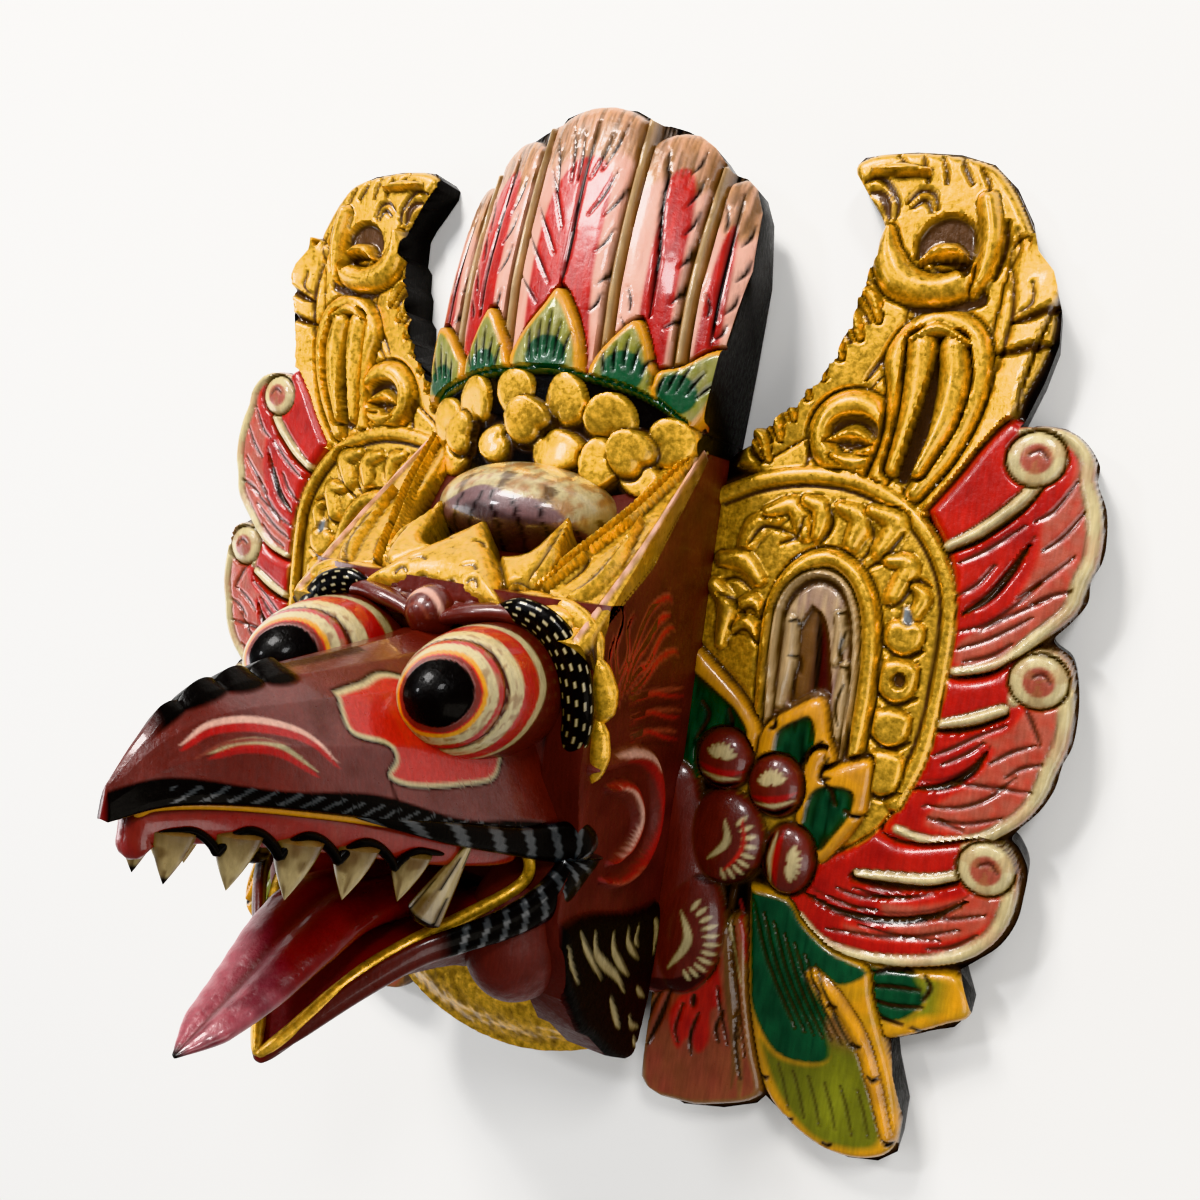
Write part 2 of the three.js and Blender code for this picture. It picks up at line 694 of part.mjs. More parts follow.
// The rim of the mouth, from the beak round the corner of the mouth to the tip of the jaw.
const lipLine = [
  ...[0.6, 0.4, 0.2].map((t) => [beakWidthAt(t, "half"), beakWidthAt(t, "rim") - 1, beakAt(t)]),
  [headHalf - 2, -93, jawZ(106)], [headHalf - 6, -104, jawZ(108)],
  [48, -110, jawZ(124)], [37, -114, jawZ(150)], [20, -127, jawZ(172)], [0, -149, jawZ(190)],
];
const lipRadius = 5;
function lip() {
  const path = new THREE.CatmullRomCurve3(lipLine.map((point) => new THREE.Vector3(...point)));
  const steps = 8;
  const up = new THREE.Vector3(0, 1, 0);
  return loft(
    Array.from({ length: steps + 1 }, (_, i) => {
      const centre = path.getPointAt(i / steps);
      const side = path.getTangentAt(i / steps).cross(up).normalize();
      const over = side.clone().cross(path.getTangentAt(i / steps)).normalize();
      return [0, 1, 2, 3].map((k) => {
        const angle = (k / 4) * 2 * Math.PI;
        const at = centre.clone().addScaledVector(side, lipRadius * Math.cos(angle));
        return at.addScaledVector(over, lipRadius * Math.sin(angle)).toArray();
      });
    }),
  );
}

function crest() {
  const bumps = 5;
  return loft(
    Array.from({ length: 2 * bumps + 1 }, (_, i) => {
      const share = lerp(0.56, 0.95, i / (2 * bumps));
      const ridge = beakWidthAt(share, "ridge");
      const top = ridge + (i % 2 ? 4 : 0.5);
      return [[-3.5, ridge - 5, beakAt(share)], [3.5, ridge - 5, beakAt(share)], [0, top, beakAt(share)]];
    }),
  );
}

const tuskBase = [37, -110, jawZ(158)];
const tuskTip = [46, -76, jawZ(151)];
const tuskRadius = 7;
function tusk() {
  return spike(tuskBase, tuskTip, tuskRadius);
}

function head() {
  const outside = join([
    block(),
    loft(beakSections.map(beakRing)),
  ]).subtract(mouthSpace());
  const hollow = bead([0, -52, 0], [hollowHalfWidth, hollowHalfHeight, hollowDepth], 12, 6);
  const whole = join([
    outside,
    loft(beakSections.slice(0, -1).map(gumRing)),
    loft(jawSections.map(jawRing)),
    tongue(),
    both(teeth),
    both(tusk),
    both(eye),
    both(lip),
    bead([0, -13, headFront - 4], [9, 11, 12], 8, 4),
    both(cheek),
    diadem(),
    crown(),
    throatCollar(),
    crest(),
  ]);
  // The back is flat, and the side walls are sawn straight where the wings butt against them.
  const room = (width, low, back) => {
    const box = new THREE.BoxGeometry(width, beyond, beyond);
    return solidOf(box.translate(0, low + beyond / 2, back + beyond / 2));
  };
  const sawn = join([
    room(2 * headHalf, -beyond / 2, 0),
    room(beyond, -beyond / 2, high + 8),
    room(beyond, blockTop + 7, 0),
  ]);
  return withoutPockets(whole.subtract(hollow).intersect(sawn));
}

// Nodes.

const carvedWood = (color) => new THREE.MeshStandardMaterial({ color, roughness: 0.35, metalness: 0 });
const painted = { head: carvedWood("#5a1d1b"), wing: carvedWood("#a8791f") };

function node(name, made, material) {
  const mesh = made.getMesh();
  const geometry = new THREE.BufferGeometry()
    .setAttribute("position", new THREE.BufferAttribute(new Float32Array(mesh.vertProperties), 3))
    .setIndex(new THREE.BufferAttribute(new Uint32Array(mesh.triVerts), 1));
  geometry.computeVertexNormals();
  const piece = new THREE.Mesh(geometry, material);
  piece.name = name;
  return piece;
}

const mask = new THREE.Group();
const rightWing = wing();
mask.add(node("head", head(), painted.head));
mask.add(node("wing_right", rightWing, painted.wing));
mask.add(node("wing_left", rightWing.mirror([1, 0, 0]), painted.wing));
// The origin is under the middle of the mask.
mask.position.y = -(crownTop + tailTip) / 2;

export default mask;
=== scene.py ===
"""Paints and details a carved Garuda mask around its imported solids, as a Blender add-on run as a script."""
import math

import bpy
import numpy as np
from mathutils import Matrix, Vector


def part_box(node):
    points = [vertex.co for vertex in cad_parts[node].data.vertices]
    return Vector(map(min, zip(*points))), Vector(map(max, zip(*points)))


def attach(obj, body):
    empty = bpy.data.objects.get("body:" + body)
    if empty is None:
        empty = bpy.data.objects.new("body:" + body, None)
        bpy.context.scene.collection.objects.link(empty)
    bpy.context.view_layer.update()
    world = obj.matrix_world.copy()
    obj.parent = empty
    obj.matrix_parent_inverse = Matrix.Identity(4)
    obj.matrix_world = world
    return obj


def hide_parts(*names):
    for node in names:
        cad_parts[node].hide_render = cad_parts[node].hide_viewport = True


bl_info = {
    "name": "Garuda mask",
    "version": (1, 0, 0),
    "blender": (4, 5, 0),
    "location": "View3D > Sidebar > Mask",
    "description": "Carved relief, brushwork and varnish of a wooden Garuda mask",
    "category": "Object",
}

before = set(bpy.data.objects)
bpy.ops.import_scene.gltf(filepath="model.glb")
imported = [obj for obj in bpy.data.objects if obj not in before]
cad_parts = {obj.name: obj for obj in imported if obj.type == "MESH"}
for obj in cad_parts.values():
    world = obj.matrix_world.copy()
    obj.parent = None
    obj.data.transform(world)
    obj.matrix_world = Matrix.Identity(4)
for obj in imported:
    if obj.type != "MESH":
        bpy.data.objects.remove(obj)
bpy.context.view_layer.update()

MM = 0.001
HEAD_LOW, HEAD_HIGH = (np.array(corner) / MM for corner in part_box("head"))
WING_LOW, WING_HIGH = (np.array(corner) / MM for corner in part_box("wing_right"))

# Heights are drawn from the line between the brows, as on the carver's block.
CROWN_TOP = 184.0
BROW_LINE = HEAD_HIGH[1] - CROWN_TOP + 0.4
SEAM = WING_LOW[0]
HEAD_HALF = SEAM - 0.3
BEAK_REACH = HEAD_HIGH[2]
HEAD_FRONT = 120.0
BOARD = 16.0
HIGH = BOARD + 9.0
MID = BOARD + 5.0
LOW = BOARD + 0.6


def linear(hex_colour):
    """An sRGB hex colour as linear red, green and blue."""
    parts = [int(hex_colour[i:i + 2], 16) / 255 for i in (0, 2, 4)]
    return tuple(c / 12.92 if c <= 0.04045 else ((c + 0.055) / 1.055) ** 2.4 for c in parts)


def colour_prop(name, hex_colour, description):
    return bpy.props.FloatVectorProperty(
        name=name, description=description, subtype="COLOR", size=3, min=0, max=1,
        default=linear(hex_colour))


class MaskPaints(bpy.types.PropertyGroup):
    """The pots of paint."""
    gold: colour_prop("Gold", "E8B54A", "Gold paint on the carved leaves")
    # The same brown also serves as painted shade in the cuts and under the blossoms.
    old_gold: colour_prop("Old gold", "52300A", "Brown glaze that stays in the cuts of the gold")
    red: colour_prop("Red", "8E0C08", "Enamel red of the feathers")
    scarlet: colour_prop("Scarlet", "AF2014", "Lighter red of strokes and flames")
    pink: colour_prop("Pink", "9E5040", "Salmon pink of the feather ends")
    blush: colour_prop("Blush", "D3A492", "Pale pink of the crown")
    cream: colour_prop("Cream", "B3A47A", "Cream of outlines and strokes")
    tan: colour_prop("Tan", "93683F", "Brown of quills and feather tips")
    maroon: colour_prop("Maroon", "541D17", "Maroon of the face")
    plum: colour_prop("Plum", "3E1210", "Darker maroon of the side walls")
    black: colour_prop("Black", "070606", "Black of edges, bands and barbs")
    green: colour_prop("Green", "054423", "Green of the leaves")
    dark_green: colour_prop("Dark green", "06301B", "Veins and blots of the leaves")
    olive: colour_prop("Olive", "6A6C1A", "Olive of the leaf ends")
    yellow: colour_prop("Yellow", "C48717", "Yellow outline of the leaves")
    mauve: colour_prop("Mauve", "735657", "Mauve of the dome")
    ivory: colour_prop("Ivory", "A89569", "Aged ivory of the teeth")
    tongue: colour_prop("Tongue", "8A434B", "Dusky pink of the tongue")
    grey: colour_prop("Primer", "6E7478", "Grey primer where the paint has chipped")
    floor: colour_prop("Floor", "F4F3F1", "Plain floor")


class MaskSizes(bpy.types.PropertyGroup):
    """Fineness of the carving."""
    wing_step: bpy.props.FloatProperty(
        name="Wing grid", description="Spacing of the wing carving", default=0.84 * MM, unit="LENGTH")
    head_step: bpy.props.FloatProperty(
        name="Head grid", description="Spacing of the head carving", default=0.74 * MM, unit="LENGTH")


def paints():
    pots = bpy.context.scene.mask_paints
    return {name: np.array(getattr(pots, name)) for name in MaskPaints.__annotations__}


# Curves and grids.

def smooth_line(points, count=40):
    """A Catmull-Rom line through the points, as count evenly shared places."""
    p = np.array(points, float)
    if len(p) == 2:
        return p[0] + np.linspace(0, 1, count)[:, None] * (p[1] - p[0])
    p = np.vstack([2 * p[0] - p[1], p, 2 * p[-1] - p[-2]])
    t = np.linspace(0, len(p) - 3 - 1e-9, count)
    i = t.astype(int)
    f = (t - i)[:, None]
    a, b, c, d = p[i], p[i + 1], p[i + 2], p[i + 3]
    return 0.5 * (2 * b + (c - a) * f + (2 * a - 5 * b + 4 * c - d) * f ** 2
                  + (3 * b - a - 3 * c + d) * f ** 3)


def along(values, t):
    """A value at share t of an evenly spaced list."""
    if np.isscalar(values):
        return np.full_like(t, values)
    return np.interp(t, np.linspace(0, 1, len(values)), values)


def spiral(centre, wide, tight, start, turns, count=14):
    share = np.linspace(0, 1, count)
    angle = np.radians(start + 360 * turns * share)
    radius = wide + (tight - wide) * share
    return np.stack([centre[0] + radius * np.cos(angle), centre[1] + radius * np.sin(angle)], 1)


def ease(x):
    x = np.clip(x, 0, 1)
    return x * x * (3 - 2 * x)


def value_noise(a, b, cell, seed):
    """Smooth noise from 0 to 1 with bumps about one cell wide."""
    x, y = a / cell, b / cell
    i, j = np.floor(x), np.floor(y)
    fx, fy = ease(x - i), ease(y - j)

    def corner(m, n):
        h = np.sin(m * 127.1 + n * 311.7 + seed * 74.7) * 43758.5453
        return h - np.floor(h)

    low = corner(i, j) * (1 - fx) + corner(i + 1, j) * fx
    high = corner(i, j + 1) * (1 - fx) + corner(i + 1, j + 1) * fx
    return low * (1 - fy) + high * fy


def blur(field, rounds=1):
    for _ in range(rounds):
        p = np.pad(field, 1, mode="edge")
        field = (p[:-2, 1:-1] + p[2:, 1:-1] + p[1:-1, :-2] + p[1:-1, 2:] + 4 * p[1:-1, 1:-1]) / 8
    return field


class Relief:
    """A carved and painted skin over a grid of places (a, b) in millimetres."""

    def __init__(self, a_range, b_range, step, height=0.0, colour=None, gold=0.0):
        count_a = int(round((a_range[1] - a_range[0]) / step)) + 1
        count_b = int(round((b_range[1] - b_range[0]) / step)) + 1
        self.step = step
        self.a, self.b = np.meshgrid(np.linspace(*a_range, count_a), np.linspace(*b_range, count_b))
        self.height = np.full(self.a.shape, float(height))
        self.colour = np.zeros(self.a.shape + (3,)) + (0 if colour is None else colour)
        self.gold = np.full(self.a.shape, float(gold))

    def window(self, points, reach):
        low, high = points.min(0) - reach, points.max(0) + reach
        a, b = self.a[0], self.b[:, 0]
        i0, i1 = np.searchsorted(a, [low[0], high[0]])
        j0, j1 = np.searchsorted(b, [low[1], high[1]])
        return slice(max(j0 - 1, 0), j1 + 1), slice(max(i0 - 1, 0), i1 + 1)

    def near(self, points, reach, count=36):
        """Share along the line and signed distance to it, in the window around it."""
        line = smooth_line(points, count)
        box = self.window(line, reach)
        a, b = self.a[box], self.b[box]
        best = np.full(a.shape, np.inf)
        share = np.zeros(a.shape)
        side = np.ones(a.shape)
        for k in range(count - 1):
            p, way = line[k], line[k + 1] - line[k]
            size = way @ way + 1e-12
            s = np.clip(((a - p[0]) * way[0] + (b - p[1]) * way[1]) / size, 0, 1)
            da, db = a - p[0] - s * way[0], b - p[1] - s * way[1]
            far = da * da + db * db
            closer = far < best
            best = np.where(closer, far, best)
            share = np.where(closer, (k + s) / (count - 1), share)
            side = np.where(closer, np.sign(way[0] * db - way[1] * da), side)
        return box, share, np.sqrt(best) * side

    def lay(self, box, amount, colour=None, gold=None, height=None, mode="set"):
        """Lays paint and wood over a window, by an amount from 0 to 1."""
        if height is not None:
            old = self.height[box]
            new = np.maximum(old, height) if mode == "max" else height
            self.height[box] = old + (new - old) * amount
        if colour is not None:
            old = self.colour[box]
            self.colour[box] = old + (colour - old) * amount[..., None]
        if gold is not None:
            old = self.gold[box]
            self.gold[box] = old + (gold - old) * amount

    def blade(self, line, half, shape, colour=None, gold=None, mode="set", grow=0.0):
        """A raised leaf along a line: shape(t, v) gives its height, colour(t, v) its paint."""
        widest = np.max(half) + grow
        box, t, d = self.near(line, widest + 1)
        w = along(half, t) + grow
        v = d / np.maximum(w, 1e-6)
        amount = np.clip((w - np.abs(d)) / self.step + 0.5, 0, 1)
        paint = colour(t, v) if callable(colour) else colour
        tall = shape(t, np.clip(v, -1, 1)) if callable(shape) else shape
        self.lay(box, amount, paint, gold, tall, mode)

    def stroke(self, line, width, colour=None, cut=0.0, gold=None, blunt=0.35, strength=1.0):
        """A brush stroke or gouge cut that tapers at both ends."""
        box, t, d = self.near(line, width, count=18)
        w = width / 2 * np.sin(np.pi * np.clip(t, 0.001, 0.999)) ** blunt
        amount = np.clip((w - np.abs(d)) / (self.step * 0.9) + 0.5, 0, 1) * strength
        amount = np.where((t <= 0) | (t >= 1), 0, amount)
        self.lay(box, amount, colour, gold)
        if cut:
            self.height[box] -= cut * np.clip(1 - np.abs(d) / (width / 2 + self.step), 0, 1) * (amount > 0)

    def disc(self, centre, radius, shape, colour=None, gold=None, mode="set", reach=None):
        ra, rb = (radius, radius) if np.isscalar(radius) else radius
        middle = np.array([centre], float)
        box = self.window(middle, 1.2 * max(ra, rb) + 1)
        da, db = (self.a[box] - centre[0]) / ra, (self.b[box] - centre[1]) / rb
        r = np.hypot(da, db)
        angle = np.arctan2(db, da)
        r = r if reach is None else r / reach(angle)
        amount = np.clip((1 - r) * min(ra, rb) / self.step + 0.5, 0, 1)
        paint = colour(r, angle) if callable(colour) else colour
        tall = shape(np.clip(r, 0, 1), angle) if callable(shape) else shape
        self.lay(box, amount, paint, gold, tall, mode)

    def everywhere(self, amount, colour=None, gold=None, height=None, mode="set"):
        self.lay((slice(None), slice(None)), amount, colour, gold, height, mode)

    def glaze_and_shade(self, colour, depth=0.55, rounds=5, strength=0.75):
        """Brown glazing that was wiped off the high places and stayed in the cuts of the gold; the same brown
        in the cuts of the enamel is painted shade.
        """
        cut = blur(self.height, rounds) - self.height
        patchy = 0.65 + 0.7 * value_noise(self.a, self.b, 5.0, 3)
        amount = np.clip(cut / depth, 0, 1) * strength * patchy
        self.everywhere(np.clip(amount, 0, 1), colour=colour)

    def handwork(self, seed, lift=0.12):
        """Slight unevenness from the knife and the brush, and streaks in the paint."""
        wave = value_noise(self.a, self.b, 7.0, seed) + 0.5 * value_noise(self.a, self.b, 2.6, seed + 1)
        self.height += lift * (wave - 0.75)
        streak = value_noise(self.a, self.b * 0.22, 1.3, seed + 2) - 0.5
        self.colour *= (1 + 0.22 * streak + 0.16 * (wave - 0.75))[..., None]
        np.clip(self.colour, 0, 1, out=self.colour)


def deselect():
    if bpy.context.object and bpy.context.object.mode != "OBJECT":
        bpy.ops.object.mode_set(mode="OBJECT")
    bpy.ops.object.select_all(action="DESELECT")


def set_places(mesh, places):
    mesh.vertices.foreach_set("co", np.asarray(places, np.float32).ravel())
    mesh.update()


def get_places(mesh):
    places = np.empty(len(mesh.vertices) * 3, np.float32)
    mesh.vertices.foreach_get("co", places)
    return places.reshape(-1, 3)


def volume(mesh):
    places = get_places(mesh).astype(float)
    mesh.calc_loop_triangles()
    corners = np.empty(len(mesh.loop_triangles) * 3, np.int32)
    mesh.loop_triangles.foreach_get("vertices", corners)
    a, b, c = places[corners.reshape(-1, 3)].transpose(1, 0, 2)
    return np.einsum("ij,ij->i", a, np.cross(b, c)).sum() / 6


def face_out(mesh):
    if volume(mesh) < 0:
        mesh.flip_normals()


def write_paint(mesh, colour, gold):
    """Stores paint and gilding on the corners, so that a cut edge keeps its own black."""
    corners = np.empty(len(mesh.loops), np.int32)
    mesh.loops.foreach_get("vertex_index", corners)
    paint = mesh.color_attributes.get("Paint") or mesh.color_attributes.new("Paint", "FLOAT_COLOR", "CORNER")
    values = np.concatenate([colour, gold[:, None]], 1)[corners]
    paint.data.foreach_set("color", values.astype(np.float32).ravel())


def carved(name, relief, place, back, edge_colour=None):
    """A closed piece whose front is the relief: a grid with a rim drawn back from it, set in place."""
    deselect()
    rows, columns = relief.a.shape
    bpy.ops.mesh.primitive_grid_add(x_subdivisions=columns - 1, y_subdivisions=rows - 1, size=2)
    piece = bpy.context.object
    piece.name = piece.data.name = name
    bpy.ops.object.mode_set(mode="EDIT")
    bpy.ops.mesh.select_all(action="SELECT")
    bpy.ops.mesh.region_to_loop()
    bpy.ops.mesh.extrude_edges_move(TRANSFORM_OT_translate={"value": (0, 0, -1)})
    bpy.ops.mesh.edge_face_add()
    bpy.ops.object.mode_set(mode="OBJECT")
    grid = get_places(piece.data)
    i = np.rint((grid[:, 0] + 1) / 2 * (columns - 1)).astype(int)
    j = np.rint((grid[:, 1] + 1) / 2 * (rows - 1)).astype(int)
    front = np.stack(place(relief.a, relief.b, relief.height), -1)
    rear = np.stack(back(relief.a, relief.b), -1)
    top = grid[:, 2] > -0.5
    places = np.where(top[:, None], front[j, i], rear[j, i])
    places[:, 1] += BROW_LINE
    set_places(piece.data, places * MM)
    face_out(piece.data)
    colour = relief.colour[j, i].copy()
    gold = relief.gold[j, i].copy()
    if edge_colour is not None:
        colour[~top] = edge_colour
        gold[~top] = 0
    write_paint(piece.data, colour, gold)
    return piece


def prism(outline, place, low, high, paint=None):
    """A cutter: an outline of (a, b) places, drawn out from height low to high. Sawn faces get its paint."""
    deselect()
    count = len(outline)
    bpy.ops.mesh.primitive_circle_add(vertices=count, radius=1, fill_type="NGON")
    cutter = bpy.context.object
    bpy.ops.object.mode_set(mode="EDIT")
    bpy.ops.mesh.select_all(action="SELECT")
    bpy.ops.mesh.extrude_region_move(TRANSFORM_OT_translate={"value": (0, 0, -1)})
    bpy.ops.object.mode_set(mode="OBJECT")
    grid = get_places(cutter.data)
    angle = np.arctan2(grid[:, 1], grid[:, 0])
    turn = np.rint((angle - angle[0]) / (2 * math.pi) * count).astype(int) % count
    a, b = np.array(outline, float)[turn].T
    h = np.where(grid[:, 2] > -0.5, high, low)
    places = np.stack(place(a, b, h), -1)
    places[:, 1] += BROW_LINE
    set_places(cutter.data, places * MM)
    face_out(cutter.data)
    paint = paints()["black"] if paint is None else paint
    write_paint(cutter.data, np.zeros((len(grid), 3)) + paint, np.zeros(len(grid)))
    return cutter


def trim(piece, cutter, operation="INTERSECT"):
    """Saws a piece to a cutter. The sawn edge keeps the cutter's paint."""
    deselect()
    bpy.context.view_layer.objects.active = piece
    piece.select_set(True)
    saw = piece.modifiers.new("saw", "BOOLEAN")
    saw.operation = operation
    saw.solver = "MANIFOLD"
    saw.object = cutter
    bpy.ops.object.modifier_apply(modifier=saw.name)
    bpy.data.objects.remove(cutter)
    if not len(piece.data.polygons):
        raise RuntimeError(f"{piece.name} was sawn away")


def mirrored(piece, name):
    copy = piece.copy()
    copy.data = piece.data.copy()
    bpy.context.scene.collection.objects.link(copy)
    copy.name = copy.data.name = name
    places = get_places(copy.data)
    places[:, 0] *= -1
    set_places(copy.data, places)
    copy.data.flip_normals()
    return copy


def finished(piece, material, node, angle=50):
    """Shading, material, body and node of a finished piece."""
    deselect()
    piece.select_set(True)
    bpy.context.view_layer.objects.active = piece
    bpy.ops.object.shade_smooth_by_angle(angle=math.radians(angle))
    piece.data.materials.clear()
    piece.data.materials.append(material)
    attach(piece, "root")
    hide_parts(node)
    return piece


# Materials.

def add(tree, kind, settings=None, links=None, operation=None):
    """Adds a node with its settings and its linked inputs."""
    made = tree.nodes.new(kind)
    for key, value in (settings or {}).items():
        if isinstance(key, str) and hasattr(made, key):
            setattr(made, key, value)
        else:
            made.inputs[key].default_value = value
    if operation:
        made.operation = operation
    for key, socket in (links or {}).items():
        tree.links.new(socket, made.inputs[key])
    return made


def varnished_paint(name, roughness=0.34, coat=0.5, grain=0.5, wear=0.25, metallic=0.8):
    """Enamel and gold paint on carved wood under clear varnish, which gives soft wet highlights."""
    material = bpy.data.materials.new(name)
    material.use_nodes = True
    tree = material.node_tree
    tree.nodes.clear()
    place = add(tree, "ShaderNodeTexCoord").outputs["Object"]
    paint = add(tree, "ShaderNodeAttribute", {"attribute_name": "Paint"})
    gilding = paint.outputs["Alpha"]
    # Wood grain and bristle marks run along the mask's height, about 1 mm apart.
    streaks = add(tree, "ShaderNodeMapping", {"Scale": (900, 120, 900)}, {"Vector": place})
    bristles = add(tree, "ShaderNodeTexNoise", {"Scale": 1.0, "Detail": 3.0},
                   {"Vector": streaks.outputs[0]})
    # Dabs of thicker paint, about 2 mm across.
    dabs = add(tree, "ShaderNodeTexNoise", {"Scale": 450.0, "Detail": 4.0, "Roughness": 0.65},
               {"Vector": place})
    blotches = add(tree, "ShaderNodeTexNoise", {"Scale": 60.0, "Detail": 3.0}, {"Vector": place})
    # Gold paint is uneven: bright flake over a brown ground.
    flake = add(tree, "ShaderNodeMapRange",
                {"From Min": 0.35, "From Max": 0.7, "To Min": 0.55, "To Max": 1.25},
                {"Value": dabs.outputs["Fac"]})
    plain = add(tree, "ShaderNodeMapRange",
                {"From Min": 0.3, "From Max": 0.7, "To Min": 0.86, "To Max": 1.12},
                {"Value": bristles.outputs["Fac"]})
    bright = add(tree, "ShaderNodeMix", {"data_type": "FLOAT"},
                 {0: gilding, 2: plain.outputs[0], 3: flake.outputs[0]})
    tone = add(tree, "ShaderNodeVectorMath", None, {0: paint.outputs["Color"]}, "SCALE")
    tree.links.new(bright.outputs[0], tone.inputs["Scale"])
    age = add(tree, "ShaderNodeMapRange",
              {"From Min": 0.52, "From Max": 0.75, "To Min": 0.0, "To Max": wear},
              {"Value": blotches.outputs["Fac"]})
    aged = add(tree, "ShaderNodeMix", {"data_type": "RGBA", "blend_type": "MULTIPLY"},
               {0: age.outputs[0], 6: tone.outputs[0]})
    aged.inputs[7].default_value = (0.45, 0.30, 0.16, 1)
    gloss = add(tree, "ShaderNodeMapRange",
                {"From Min": 0.3, "From Max": 0.7, "To Min": roughness - 0.08, "To Max": roughness + 0.14},
                {"Value": dabs.outputs["Fac"]})
    fine = add(tree, "ShaderNodeBump", {"Strength": grain, "Distance": 0.00022},
               {"Height": bristles.outputs["Fac"]})
    bump = add(tree, "ShaderNodeBump", {"Strength": 0.5, "Distance": 0.0004},
               {"Height": dabs.outputs["Fac"], "Normal": fine.outputs[0]})
    metal = add(tree, "ShaderNodeMath", {1: metallic}, {0: gilding}, "MULTIPLY")
    # Black edges carry hardly any varnish, so they stay dark.
    light = add(tree, "ShaderNodeRGBToBW", None, {0: paint.outputs["Color"]})
    shine = add(tree, "ShaderNodeMapRange",
                {"From Min": 0.002, "From Max": 0.03, "To Min": 0.2, "To Max": 1.0},
                {"Value": light.outputs[0]})
    layer = add(tree, "ShaderNodeMath", {1: coat}, {0: shine.outputs[0]}, "MULTIPLY")
    mirror = add(tree, "ShaderNodeMath", {1: 0.5}, {0: shine.outputs[0]}, "MULTIPLY")
    shader = add(tree, "ShaderNodeBsdfPrincipled",
                 {"IOR": 1.5, "Coat Roughness": 0.09, "Coat IOR": 1.5},
                 {"Base Color": aged.outputs[2], "Roughness": gloss.outputs[0],
                  "Coat Weight": layer.outputs[0], "Specular IOR Level": mirror.outputs[0],
                  "Metallic": metal.outputs[0], "Normal": bump.outputs[0]})
    out = add(tree, "ShaderNodeOutputMaterial")
    tree.links.new(shader.outputs[0], out.inputs[0])
    return material


# Profiles of cut wood: height across a blade, from -1 to 1.

def roof(edge, crest, power=1.5):
    """A ridge that falls off to both sides; edge and crest may be lists along the line."""
    return lambda t, v: along(edge, t) + (along(crest, t) - along(edge, t)) * (1 - np.abs(v) ** power)


def lean_to(edge, crest, side=1):
    """A blade that rises from one side and drops sharply at the other."""
    return lambda t, v: along(edge,
                              t) + (along(crest, t) - along(edge,
                                                            t)) * np.clip((side * v + 1) / 1.85, 0, 1) ** 0.8


def dome_shape(edge, crest):
    return lambda r, angle: edge + (crest - edge) * np.sqrt(np.clip(1 - r ** 2, 0, 1))


def blend_paint(one, other, share):
    return one + (other - one) * np.clip(share, 0, 1)[..., None]


def region(relief, outline, rise=None, base=0.0, bevel=3.0, colour=None, gold=None, soft=0.5, smooth=True,
           mode="set"):
    """Fills an outlined area: height base + rise, rounded off over the bevel inside its edge."""
    points = np.array(outline, float)
    if smooth:
        points = smooth_line(np.vstack([points, points[:1]]), len(points) * 4)[:-1]
    box = relief.window(points, 1)
    a, b = relief.a[box], relief.b[box]
    far = np.full(a.shape, np.inf)
    inside = np.zeros(a.shape, bool)
    for p, q in zip(points, np.roll(points, -1, 0)):
        way = q - p
        size = way @ way + 1e-12
        s = np.clip(((a - p[0]) * way[0] + (b - p[1]) * way[1]) / size, 0, 1)
        far = np.minimum(far, (a - p[0] - s * way[0]) ** 2 + (b - p[1] - s * way[1]) ** 2)
        crosses = (p[1] > b) != (q[1] > b)
        if p[1] != q[1]:
            inside ^= crosses & (a < p[0] + (b - p[1]) / (q[1] - p[1]) * way[0])
    d = np.sqrt(far) * np.where(inside, 1, -1)
    amount = np.clip(d / (2 * soft * relief.step) + 0.5, 0, 1)
    tall = None if rise is None else base + rise * np.sqrt(
        np.clip(1 - (1 - np.clip(d / bevel, 0, 1)) ** 2, 0, 1))
    paint = colour(a, b, d) if callable(colour) else colour
    relief.lay(box, amount, paint, gold, tall, mode)


def berry(relief, centre, radius, crest, facing, p):
    """A maroon berry with a cream fan of strokes, a red crescent and a thin white one."""
    ra, rb = radius
    relief.disc(centre, (ra + 1.2, rb + 1.2), MID - 1, p["plum"] * 0.4, gold=0)
    relief.disc(centre, radius, dome_shape(MID, crest), p["maroon"] * 1.25, gold=0)
    turn = math.radians(facing)

    def at(angle, reach):
        way = turn + math.radians(angle)
        return centre[0] + ra * reach * math.cos(way), centre[1] + rb * reach * math.sin(way)

    for angle in range(-60, 75, 20):
        relief.stroke([at(angle * 0.55, 0.12), at(angle, 0.62)], relief.step * 2.6, p["cream"], blunt=0.6)
    relief.stroke([at(105, 0.85), at(150, 0.42), at(-150, 0.42), at(-105, 0.85)], ra * 0.3, p["red"] * 1.05,
                  blunt=0.8)
    relief.stroke([at(120, 0.9), at(165, 0.58), at(-165, 0.58), at(-120, 0.9)], ra * 0.17, p["cream"],
                  blunt=0.7)
    relief.stroke([at(130, 0.95), at(180, 0.82), at(-130, 0.95)], ra * 0.22, p["black"], blunt=0.6)


# Wing panels, for the viewer's right, on a grid from the seam outwards.

WING_A = (62.0, 203.5)
WING_B = (-218.0, 173.0)
WING_GRID = 140.0


def on_panel(a, b, h):
    return SEAM + (a - 62) * (WING_HIGH[0] - WING_LOW[0]) / (WING_GRID), b, h


